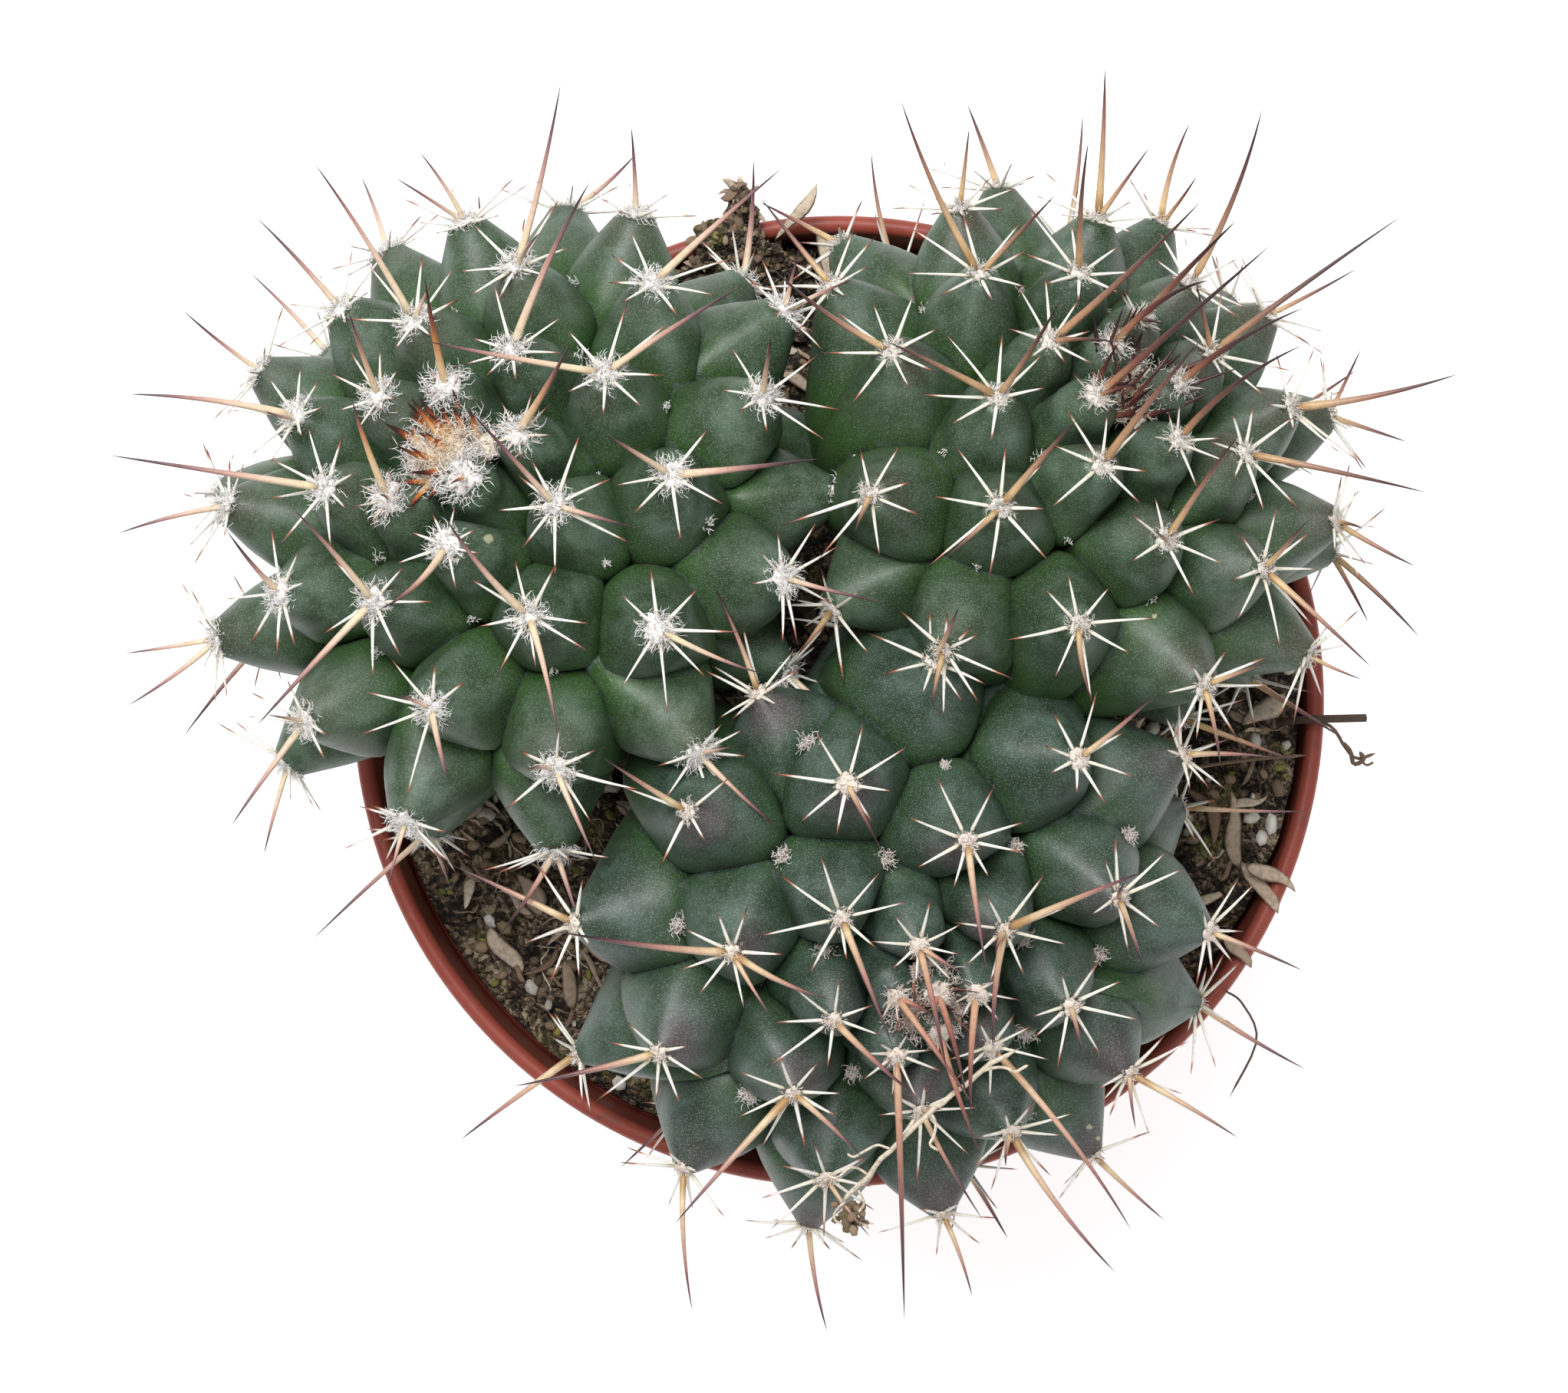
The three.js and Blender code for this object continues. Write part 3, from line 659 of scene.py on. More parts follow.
def crumbs(x, y, pitch, seed):
    """Height and tone of the highest crumb over each point.

    Each square cell of the plane has one round crumb. Its height over a point is the square root of its
    radius squared less the distance squared. Nine cells round the point are looked at.
    """
    column, row = np.floor(x / pitch), np.floor(y / pitch)
    best, tone = np.zeros_like(x), np.zeros_like(x)
    for shift in np.ndindex(3, 3):
        beside, behind = column + shift[0] - 1, row + shift[1] - 1
        cell = 157.0 * beside + 311.0 * behind
        middle_x = (beside + draw(seed, cell)) * pitch
        middle_y = (behind + draw(seed + 1, cell)) * pitch
        radius = pitch * (0.3 + 0.55 * draw(seed + 2, cell))
        height = np.sqrt(np.maximum(radius**2 - (x - middle_x) ** 2 - (y - middle_y) ** 2, 0))
        tone = np.where(height > best, draw(seed + 3, cell), tone)
        best = np.maximum(best, height)
    return best, tone


def soil_height(x, y):
    """The solids' level and the bank under three sizes of crumbs, and the tone of the crumb on top."""
    found = [crumbs(x, y, pitch, seed) for pitch, seed, _ in CRUMBS]
    large, small, fine = (weight * height for (height, _), (_, _, weight) in zip(found, CRUMBS))
    height = np.maximum(large, small) + fine - CRUMB_DROP
    tone = np.where(large > small, found[0][1], found[1][1])
    return soil_level(x, y) + bank_level(x, y) + height, tone


# %% Soil finish
SOIL_STOPS = [
    (0.0, (0.006, 0.005, 0.004)), (0.34, (0.020, 0.014, 0.010)), (0.50, (0.085, 0.060, 0.037)),
    (0.68, (0.235, 0.170, 0.108)), (0.90, (0.46, 0.37, 0.26)),
]
# How much each source of unevenness counts in the soil's tone.
SOIL_TONES = {"coarse": 0.28, "fine": 0.47, "crumb": 0.25, "hollows": 0.75}


def make_soil_finish():
    """Damp crumbs and grains of many tones, from black through warm brown to tan, with patches of moss."""
    net = Finish("soil")
    strewn = net.move("ADD", net.place, net.wander())
    coarse, fine = net.stipple(1.1, 0.5, strewn), net.stipple(0.45, 0.5, strewn)
    tone = coarse["Chance"] * SOIL_TONES["coarse"] + fine["Chance"] * SOIL_TONES["fine"]
    tone = tone + net.point("tone") * SOIL_TONES["crumb"]
    tone = tone + (net.cloud(4.0, 4) - 0.5) * SOIL_TONES["hollows"]
    moss = net.mix(fine["Chance"], (0.050, 0.052, 0.012), (0.260, 0.235, 0.055))
    moss_share = net.ramp(net.cloud(5.5, 4), 0.55, 0.66) * 0.6
    mossy = net.mix(moss_share, net.scale(tone, SOIL_STOPS), moss)
    relief = coarse["Height"] + fine["Height"] * 0.6
    return net.shade(mossy, 0.9, Normal=net.bump(relief, 1.0, 0.5))


SOIL_FINISH = make_soil_finish()


def make_soil():
    """Closed bed: fine rings of crumbs where the soil is open to view, a plain side and underside."""
    ring_radii = np.concatenate([np.linspace(*rings) for rings in SOIL_RINGS])[::-1, None]
    x, y = ring_radii * np.cos(turns(SOIL_SIDES)), ring_radii * np.sin(turns(SOIL_SIDES))
    height, tone = soil_height(x, y)
    side = turned_rings(SOIL_SIDE, SOIL_SIDES)
    rings = np.concatenate([side, np.stack([x, y, height], -1)])
    points = stack_points(SOIL_FLOOR * UP[None], rings[None], (SOIL_TOP + SOIL_MOUND) * UP[None])
    tones = np.concatenate([np.zeros(1 + side[..., 0].size), tone.ravel(), [0.3]])
    stacks = (1, len(rings), SOIL_SIDES)
    piece = place_stacks("soil_bed", points, stacks, {"tone": tones}, SOIL_FINISH)
    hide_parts("soil")


make_soil()

# %% Grit, perlite and moss
# Lumps that are strewn evenly: how many, their sizes and their tones.
GRIT = {
    "perlite": (110, (0.35, 1.05), (0.0, 0.20)),
    "grit": (520, (0.25, 0.85), (0.25, 0.74)),
    "moss": (340, (0.25, 0.55), (0.80, 1.0)),
}
# Perlite that lies at the right: place x, y and size.
CHOSEN_PERLITE = np.array([
    [48.9, 3.4, 0.80], [45.2, -4.3, 0.75], [48.4, -4.8, 0.60],
    [47.2, -13.4, 1.0], [45.8, -14.8, 0.65], [45.0, -10.6, 0.50],
])
CHOSEN_PERLITE_TONE = 0.08
# A clod of old roots and peat that leans on the rim at the back, between the left and right plants: two
# leaning cones, with foot and peak, their half-widths and the number of lumps on each.
CLODS = [
    SimpleNamespace(
        foot=np.array([-12.0, 44.6, 76.5]), peak=np.array([-12.0, 50.4, 88.2]),
        foot_reach=np.array([14.0, 6.0]), peak_reach=np.array([3.4, 1.2]), count=330),
    SimpleNamespace(
        foot=np.array([-10.4, 49.4, 82.0]), peak=np.array([-10.8, 54.8, 91.0]),
        foot_reach=np.array([4.6, 3.0]), peak_reach=np.array([0.6, 0.4]), count=120),
]
CLOD_ROWS, CLOD_SIDES = 18, 44
CLOD_SIZES, CLOD_TONES = (0.18, 0.68), (0.34, 0.73)
CLOD_WIDTH = 0.9
OPEN_SOIL = (24.0, 49.3)
GRIT_ROWS, GRIT_SIDES = 4, 7
LUMP_FLATNESS = 0.75
# How strong the waves in a lump's longitude and latitude are.
LUMP_WAVES = (0.22, 0.14)


def scattered(rng, count, near, far):
    """Seeded places on the open soil, spread evenly over its area."""
    distance = np.sqrt(rng.uniform(near**2, far**2, count))
    turn = rng.uniform(0, FULL_TURN, count)
    x, y = distance * np.cos(turn), distance * np.sin(turn)
    return np.stack([x, y, soil_height(x, y)[0]], -1)


def make_grit_finish():
    """White perlite, sand-coloured grit and ochre-green moss, told apart by each lump's own number."""
    net = Finish("grit")
    colour = net.scale(net.point("tone"), [
        (0.0, (0.806, 0.780, 0.715)), (0.18, (0.598, 0.559, 0.481)), (0.25, (0.430, 0.320, 0.200)),
        (0.5, (0.250, 0.175, 0.110)), (0.7, (0.080, 0.054, 0.036)), (0.82, (0.300, 0.265, 0.060)),
        (1.0, (0.140, 0.155, 0.040)),
    ])
    stain = net.ramp(net.cloud(0.8, 3), 0.45, 0.75) * 0.4
    stained = net.mix(stain, colour, (0.156, 0.124, 0.085))
    return net.shade(stained, 0.9, Normal=net.grain(0.5, 0.12, 0.7, 0.15))


GRIT_FINISH = make_grit_finish()


def place_lumps(name, middles, radii, tones, rng):
    """Uneven round lumps: radius = size * (1 + waves in latitude and longitude), squashed a little."""
    count = len(middles)
    polar = np.pi * np.arange(1, GRIT_ROWS + 1)[:, None] / (GRIT_ROWS + 1)
    turn = turns(GRIT_SIDES)
    phase = rng.uniform(0, FULL_TURN, (2, count, 1, 1))
    two, three = LUMP_WAVES
    swell = 1 + two * np.sin(2 * turn + phase[0]) * np.sin(polar) + three * np.sin(3 * polar + phase[1])
    level = np.sin(polar) * swell
    rise = -LUMP_FLATNESS * np.cos(polar) * swell
    shape = np.stack([level * np.cos(turn), level * np.sin(turn), rise], -1)
    stretch = rng.uniform(0.75, 1.25, (count, 1, 1, 3))
    rings = middles[:, None, None] + radii[:, None, None, None] * stretch * shape
    drop = LUMP_FLATNESS * radii[:, None] * UP
    points = stack_points(middles - drop, rings, middles + drop)
    place_stacks(name, points, (count, GRIT_ROWS, GRIT_SIDES), {"tone": tones}, GRIT_FINISH)


def clod_place(clod, share, turn, spread):
    """Place in a leaning cone: middle and reach go from foot to peak, and it keeps off the pot's wall."""
    share = share[..., None]
    middle = clod.foot * (1 - share) + clod.peak * share
    reach = clod.foot_reach * (1 - share) ** 1.4 + clod.peak_reach * share
    middle[..., :2] += reach * spread[..., None] * around(turn, [1, 0], [0, 1])
    inside = (RIM_RADIUS - RIM_WIDTH - 1.2) / np.linalg.norm(middle[..., :2], axis=-1)
    low = smooth_step(middle[..., 2], POT_HEIGHT + 1.4, POT_HEIGHT + 0.4)
    middle[..., :2] *= (1 - low * (1 - np.minimum(1, inside)))[..., None]
    return middle


def make_clod():
    """The clod's solid cores: rings up each cone, roughened by two sizes of waves."""
    points = []
    share, turn = np.meshgrid(np.linspace(0, 1, CLOD_ROWS), turns(CLOD_SIDES), indexing="ij")
    for clod in CLODS:
        smooth = clod_place(clod, share, turn, np.full(share.shape, CLOD_WIDTH))
        rough = CLOD_WIDTH + 0.20 * waves(smooth, 4.0, 43) + 0.13 * waves(smooth, 1.7, 44)
        rings = clod_place(clod, share, turn, rough)
        points.append(stack_points(clod.foot[None], rings[None], clod.peak[None]))
    points = np.concatenate(points)
    tones = np.clip(0.3 + 0.3 * waves(points, 1.5, 45), 0, 1)
    stacks = (len(CLODS), CLOD_ROWS, CLOD_SIDES)
    place_stacks("soil_clod", points, stacks, {"tone": tones}, SOIL_FINISH)


def in_clod(clod, rng, count):
    """Seeded places near the clod's skin, most of them low down."""
    share = rng.uniform(0, 1, count) ** 1.3
    return clod_place(clod, share, rng.uniform(0, FULL_TURN, count), rng.uniform(0.75, 1, count))


def make_grit():
    """All loose lumps on the soil and on the clod, where most are dark."""
    rng = np.random.default_rng(41)
    groups = []
    for count, sizes, tones in GRIT.values():
        places, size = scattered(rng, count, *OPEN_SOIL), rng.uniform(*sizes, count)
        groups.append((places + 0.3 * size[:, None] * UP, size, rng.uniform(*tones, count)))
    x, y, size = CHOSEN_PERLITE.T
    chosen = np.stack([x, y, soil_height(x, y)[0] + 0.5 * size], -1)
    groups.append((chosen, size, np.full(len(size), CHOSEN_PERLITE_TONE)))
    middles, radii, tones = (np.concatenate(part) for part in zip(*groups))
    inside = (SOIL_RADIUS - 0.5 - radii) / np.linalg.norm(middles[:, :2], axis=1)
    middles[:, :2] *= np.minimum(1, inside)[:, None]
    clod = np.concatenate([in_clod(clod, rng, clod.count) for clod in CLODS])
    clod_radii = rng.uniform(*CLOD_SIZES, len(clod))
    low, high = CLOD_TONES
    clod_tones = low + (high - low) * rng.uniform(0, 1, len(clod)) ** 0.55
    middles, radii = np.concatenate([middles, clod]), np.concatenate([radii, clod_radii])
    place_lumps("soil_grit", middles, radii, np.concatenate([tones, clod_tones]), rng)


make_clod()
make_grit()

# %% [markdown]
# ### Husks and flakes
#
# The tan pieces in the soil are seed husks and bark: thin spindles, pointed at both ends, arched along
# their length. Each is a sweep with a wide, flat section whose half-width follows a sine from end to end.
# A few that catch the eye have a place of their own, the rest are scattered.

# %% Husks
HUSK_STEPS = 9
HUSK_SIDES = 6
HUSK_COUNT = 440
# Length of the shortest strewn husk, and how much longer the longest is.
HUSK_LENGTHS = (1.2, 5.4)
# Husks in the clod: their number, and mean and spread of their heading and slope in degrees.
HEAP_COUNT = 64
HEAP_HEADING, HEAP_SLOPE = (80, 70), (15, 25)
HEAP_LENGTHS, HEAP_WIDTHS = (1.4, 4.2), (0.18, 0.4)
CHOSEN_LIFT = 0.5
CHOSEN_TONES = (0.55, 0.92)
# Place x, y, z, heading and slope in degrees, length and width of the husks that catch the eye.
CHOSEN_HUSKS = np.array([
    [46.0, -1.0, 84.0, 38, 18, 6.0, 3.0],
    [42.9, -14.0, 81.8, 98, 8, 9.0, 2.3],
    [45.6, -20.0, 84.4, -56, 18, 7.2, 2.4],
    [46.7, -18.7, 86.0, -28, 3, 6.2, 2.1],
    [43.1, -26.9, 85.9, -48, 3, 4.6, 1.9],
    [40.5, -21.5, 79.6, 30, 0, 6.0, 1.6],
    [44.5, -11.0, 82.4, 20, 14, 4.6, 1.5],
    [-4.4, 52.2, 87.6, 52, 28, 8.6, 1.7],
    [-10.6, 54.2, 90.2, 100, 34, 4.5, 1.3],
    [-1.4, 48.4, 82.5, 109, 14, 6.5, 2.0],
    [2.0, 45.8, 79.8, 105, 8, 3.8, 1.5],
    [-36.5, -27.5, 77.0, 122, 4, 6.5, 2.9],
    [-27.0, -26.5, 77.4, 150, 4, 7.5, 2.2],
    [-33.5, -21.0, 77.4, -60, 4, 5.4, 3.4],
])


def make_husk_finish():
    """Dry straw and bark: tan to grey-brown by husk, darker streaks along it, matt."""
    net = Finish("husk")
    base = net.scale(net.point("tone"), [
        (0.0, (0.070, 0.046, 0.030)), (0.35, (0.235, 0.155, 0.100)), (0.7, (0.540, 0.420, 0.315)),
        (1.0, (0.80, 0.69, 0.54)),
    ])
    streaks = net.ramp(net.cloud(0.5, 5), 0.42, 0.68) * 0.38
    rib = net.ramp(net.point("ridge"), 0.45, 1.0) * 0.55
    ribbed = net.mix(rib, net.mix(streaks, base, (0.135, 0.088, 0.054)), (0.110, 0.070, 0.045))
    return net.shade(ribbed, 0.8, Normal=net.grain(0.7, 0.2, 0.7, 0.2))


HUSK_FINISH = make_husk_finish()


def husk_ribs(count):
    """One on the two thin edges of every husk's section and nothing on its flat sides."""
    edge = np.abs(np.cos(turns(HUSK_SIDES))) > 0.9
    return np.tile([0.5, *np.tile(edge, HUSK_STEPS - 2), 0.5], count)


def husk_paths(places, heading, slope, length, arch):
    """Arched line: place + (share - 1/2) * length * heading + arch * (1 - (2 share - 1)^2) upwards."""
    share = np.linspace(0, 1, HUSK_STEPS)[None, :, None]
    x, y = np.cos(heading) * np.cos(slope), np.sin(heading) * np.cos(slope)
    way = np.stack([x, y, np.sin(slope)], -1)
    rise = arch[:, None, None] * (1 - (2 * share - 1) ** 2)
    return places[:, None] + (share - 0.5) * length[:, None, None] * way[:, None] + rise * UP


def heaped_husks(rng):
    """Husks stuck in the clod at the back, many of them standing up."""
    places = np.concatenate([in_clod(clod, rng, HEAP_COUNT // 2) for clod in CLODS])
    heading, slope = rng.normal(*HEAP_HEADING, HEAP_COUNT), rng.normal(*HEAP_SLOPE, HEAP_COUNT)
    length = rng.uniform(*HEAP_LENGTHS, HEAP_COUNT)
    width = length * rng.uniform(*HEAP_WIDTHS, HEAP_COUNT)
    return np.column_stack([places, heading, slope, length, width])


def make_husks():
    """Strewn husks, the chosen ones, which lie no lower than the soil, and those in the clod."""
    rng = np.random.default_rng(53)
    count = HUSK_COUNT
    shortest, more = HUSK_LENGTHS
    length = shortest + more * rng.uniform(0, 1, count) ** 1.5
    places = scattered(rng, count, OPEN_SOIL[0], OPEN_SOIL[1] - 3) + 0.35 * UP
    lying = CHOSEN_HUSKS.copy()
    lying[:, 2] = np.maximum(lying[:, 2], soil_height(lying[:, 0], lying[:, 1])[0] + CHOSEN_LIFT)
    chosen = np.concatenate([lying, heaped_husks(rng)])
    places = np.concatenate([places, chosen[:, :3]])
    heading = np.concatenate([rng.uniform(0, FULL_TURN, count), np.radians(chosen[:, 3])])
    slope = np.concatenate([rng.normal(0, 0.12, count), np.radians(chosen[:, 4])])
    length = np.concatenate([length, chosen[:, 5]])
    total, strewn = len(length), np.arange(len(length)) < count
    width = np.concatenate([length[:count] * rng.uniform(0.10, 0.34, count), 0.8 * chosen[:, 6]])
    arch = rng.uniform(0.02, 0.13, total) * length * np.where(strewn, 1, 0.4)
    paths = husk_paths(places, heading, slope, length, arch)
    share = np.linspace(0, 1, HUSK_STEPS)
    aside = np.stack([-np.sin(heading), np.cos(heading), 0 * heading], -1)
    curl = (rng.normal(0, 1, total) * np.where(strewn, 0.11, 0.05) * length)[:, None, None]
    kink = (rng.normal(0, 0.05, total) * length)[:, None, None]
    wave = curl * (2 * share - 1)[:, None] ** 2 + kink * np.sin(FULL_TURN * share)[:, None]
    lopsided = rng.uniform(0.6, 1.6, (total, 1))
    ripple = 1 + 0.10 * np.sin(9 * share + FULL_TURN * lopsided)
    spindle = np.sin(np.pi * share**lopsided) ** 0.7 * ripple
    across, thick = 0.5 * width[:, None] * spindle, 0.13 * np.sqrt(width)[:, None] * spindle
    faced = aside + np.sin(rng.normal(0, 0.5, total))[:, None] * UP
    tones = np.concatenate([
        rng.uniform(0.1, 1, count) ** 1.1, rng.uniform(*CHOSEN_TONES, len(CHOSEN_HUSKS)),
        rng.uniform(0.15, 0.85, HEAP_COUNT),
    ])
    values = {"tone": tones, "ridge": husk_ribs(total)}
    paths = paths + aside[:, None] * wave
    place_sweeps("soil_husks", paths, across, thick, HUSK_SIDES, faced, values, HUSK_FINISH, "soil")


make_husks()

# %% [markdown]
# ### Rootlets, a thread and a twig
#
# Thin things that hang or lie freely follow a smooth curve through a few chosen points. The rest of the
# rootlets wander over the soil by a seeded walk.


# %% Smooth curves through chosen points
def smooth_path(points, steps):
    """Points along a curve through all given points, by cubic pieces that share their slopes."""
    knots = np.asarray(points, float)
    slopes = np.gradient(knots, axis=0)
    place = np.linspace(0, len(knots) - 1, steps)
    start = np.minimum(place.astype(int), len(knots) - 2)
    share = (place - start)[:, None]
    one, other = knots[start], knots[start + 1]
    one_slope, other_slope = slopes[start], slopes[start + 1]
    return (
        one * (1 + 2 * share) * (1 - share) ** 2 + one_slope * share * (1 - share) ** 2
        + other * share**2 * (3 - 2 * share) - other_slope * share**2 * (1 - share)
    )


ROOT_STEPS = 14
ROOT_COUNT = 230
ROOT_SIDES = 5
ROOT_FACED = UP + [0.3, 0.2, 0]
ROOT_STRIDES, ROOT_WANDER = (0.15, 0.6), 0.35
ROOT_RADII, ROOT_TONES = (0.06, 0.17), (0.3, 1.0)
# Points x, y, z, half-thickness and tone of the single strands that catch the eye.
STRANDS = {
    "twig": (
        [(46.5, -2.4, 81.6), (50.6, -2.0, 86.2), (54.0, -1.9, 86.9), (57.5, -1.8, 86.7)], 0.46, 0.0),
    "curly_rootlet": (
        [(50.4, -1.8, 86.2), (53.1, -2.8, 85.8), (54.6, -4.9, 84.9), (56.0, -6.2, 84.2),
         (58.2, -5.6, 83.8)], 0.2, 0.2),
    "rootlet_knot": (
        [(54.2, -4.3, 85.0), (55.2, -5.4, 84.9), (55.7, -6.8, 84.1), (56.7, -6.3, 84.5),
         (56.2, -5.4, 84.7)], 0.26, 0.15),
    "rootlet_end": ([(56.2, -6.0, 84.3), (57.0, -6.9, 84.1), (57.9, -6.6, 83.9)], 0.15, 0.2),
    "thread": (
        [(41.6, -31.2, 84.9), (43.5, -32.6, 85.4), (45.6, -37.0, 80.0), (43.0, -43.6, 76.0)], 0.13, 0.02),
    "stray_straw": (
        [(28.0, -8.5, 80.5), (36.0, -7.6, 82.2), (44.0, -6.4, 83.6), (50.6, -5.8, 86.2)], 0.22, 0.35),
}
# The twig is broken off bluntly: its last step is cut to this share.
TWIG_END_SHARE = 0.15


def place_strands(name, paths, radii, tones):
    """Thin round strands along paths, tapered to both ends."""
    taper = np.clip(6 * np.sin(np.pi * np.linspace(0, 1, paths.shape[1])), 0.25, 1)
    width, faced = radii[:, None] * taper, np.tile(ROOT_FACED, (len(radii), 1))
    place_sweeps(name, paths, width, width, ROOT_SIDES, faced, {"tone": tones}, HUSK_FINISH, "soil")


def make_roots():
    """Wandering rootlets on the soil and the chosen strands."""
    rng = np.random.default_rng(67)
    count = ROOT_COUNT
    start = scattered(rng, count, OPEN_SOIL[0], OPEN_SOIL[1] - 4)
    heading = rng.uniform(0, FULL_TURN, (count, 1))
    heading = heading + np.cumsum(rng.normal(0, ROOT_WANDER, (count, ROOT_STEPS)), 1)
    stride = rng.uniform(*ROOT_STRIDES, (count, 1))
    x = start[:, :1] + np.cumsum(stride * np.cos(heading), 1)
    y = start[:, 1:2] + np.cumsum(stride * np.sin(heading), 1)
    inward = np.minimum(1, (SOIL_RADIUS - 1.0) / np.hypot(x, y))
    x, y = x * inward, y * inward
    paths = np.stack([x, y, soil_height(x, y)[0] + 0.25], -1)
    radii, tones = rng.uniform(*ROOT_RADII, count), rng.uniform(*ROOT_TONES, count)
    points, chosen_radii, chosen_tones = zip(*STRANDS.values())
    strands = dict(zip(STRANDS, (smooth_path(one, ROOT_STEPS) for one in points)))
    before_last, last = strands["twig"][-2:]
    strands["twig"][-1] = before_last + TWIG_END_SHARE * (last - before_last)
    paths = np.concatenate([paths, [*strands.values()]])
    radii, tones = np.concatenate([radii, chosen_radii]), np.concatenate([tones, chosen_tones])
    place_strands("soil_rootlets", paths, radii, tones)


make_roots()

# %% Dry root over the front plant
# A straw-coloured root that lies across the areoles of the front plant, with its side shoots: x, y, z.
DRY_ROOT = [
    ([(17.4, -34.3, 126.2), (13.6, -36.7, 125.6), (10.2, -39.6, 124.6), (7.8, -41.7, 123.6),
      (4.4, -45.1, 121.4), (2.4, -47.8, 119.2), (-0.3, -50.9, 116.6)], 0.27),
    ([(13.6, -36.7, 125.6), (15.6, -36.2, 126.4), (16.9, -36.6, 127.0), (18.4, -35.9, 127.0)], 0.16),
    ([(8.6, -41.0, 124.0), (9.3, -42.6, 123.6), (8.6, -44.0, 123.2), (9.4, -44.8, 123.0)], 0.16),
    ([(4.9, -44.5, 121.8), (3.0, -44.4, 122.2), (1.4, -45.6, 121.6), (0.4, -45.2, 121.6)], 0.14),
    ([(2.6, -47.4, 119.4), (0.8, -46.8, 119.9), (-0.6, -47.8, 119.2), (-1.9, -47.3, 119.0)], 0.14),
    ([(1.4, -49.0, 118.2), (2.2, -50.6, 117.0), (1.4, -52.2, 116.0), (2.6, -53.6, 115.4)], 0.15),
    ([(0.2, -50.4, 117.0), (-0.9, -51.8, 116.0), (0.2, -53.0, 115.2), (3.2, -53.0, 114.8)], 0.14),
]
DRY_ROOT_STEPS = 18
DRY_ROOT_TONE = 0.97
# The crumb of soil in the root: place, spread, number of lumps, their sizes and tones.
ROOT_CRUMB = SimpleNamespace(
    place=(0.9, -52.4, 115.4), spread=0.8, count=40, sizes=(0.25, 0.65), tones=(0.45, 0.74))


def make_dry_root():
    """The root with its side shoots, and the crumb of soil that still hangs in them."""
    paths = np.stack([smooth_path(points, DRY_ROOT_STEPS) for points, _ in DRY_ROOT])
    paths = paths + 0.12 * np.stack([waves(paths, 2.2, seed) for seed in (81, 82, 83)], -1)
    radii = np.array([radius for _, radius in DRY_ROOT])
    place_strands("dry_root", paths, radii, np.full(len(radii), DRY_ROOT_TONE))
    rng = np.random.default_rng(91)
    count = ROOT_CRUMB.count
    middles = ROOT_CRUMB.place + ROOT_CRUMB.spread * rng.normal(0, 1, (count, 3))
    tones, radii = rng.uniform(*ROOT_CRUMB.tones, count), rng.uniform(*ROOT_CRUMB.sizes, count)
    place_lumps("dry_root_crumb", middles, radii, tones, rng)


make_dry_root()

# %% [markdown]
# ## How the plants grow
#
# Every tubercle of a mammillaria is set off from the last by nearly the same turn, and a little further
# from the growing tip, so one spiral places them all. The angle from the tip to tubercle n is
# step * (n + start) ^ power. Each plant is a flattened globe that leans outwards, and each tubercle stands
# square on it. These are the same numbers that shaped the solids.

# %% The three plants
PLANTS = [
    SimpleNamespace(
        name="left", centre=np.array([-32.6, 18.5, 110.0]), lean=29.3, lean_towards=137.2,
        reach=34.6, flatness=0.6, first_turn=173.1, turn=137.61, growth_step=1.077,
        growth_power=1.194, growth_start=5.58, tubercles=46, neck_foot=(-20.0, 8.0),
        room=(90.0, 225.0), seed=1, slope=0.62, tip_radius=2.0),
    SimpleNamespace(
        name="right", centre=np.array([21.3, 22.9, 108.0]), lean=35.1, lean_towards=51.4,
        reach=32.4, flatness=0.666, first_turn=78.3, turn=-137.65, growth_step=1.169,
        growth_power=1.188, growth_start=4.17, tubercles=45, neck_foot=(12.0, 15.0),
        room=(-15.0, 90.0), seed=2, slope=0.66, tip_radius=1.8),
    SimpleNamespace(
        name="front", centre=np.array([5.3, -23.0, 110.0]), lean=27.3, lean_towards=-66.6,
        reach=34.8, flatness=0.51, first_turn=136.7, turn=-137.77, growth_step=0.584,
        growth_power=1.413, growth_start=3.39, tubercles=41, neck_foot=(3.0, -12.0),
        room=(225.0, 345.0), seed=3, slope=0.86, tip_radius=1.3),
]
MEETING_POINT = np.array([-1.0, 8.0])
LOW_SIDE_FLATNESS = 0.85
TUBERCLE_ROOT = 7.0
TUBERCLE_GROWTH = 11.0
SHORTEST_TUBERCLE = 5.5
LEAST_PULL_SHARE = 0.35


def plant_frame(plant):
    """Axis towards the growing tip, downhill across it, and sideways."""
    lean, towards = np.radians([plant.lean, plant.lean_towards])
    level = np.array([np.cos(towards), np.sin(towards), 0.0])
    axis, downhill = around(lean, UP, level), around(lean, level, -UP)
    return axis, downhill, np.cross(axis, downhill)


def room_walls(plant):
    """The two upright faces between a plant and its neighbours, as vectors that point into its room."""
    first, last = np.radians(plant.room)
    return [np.array([-np.sin(first), np.cos(first)]), np.array([np.sin(last), -np.cos(last)])]


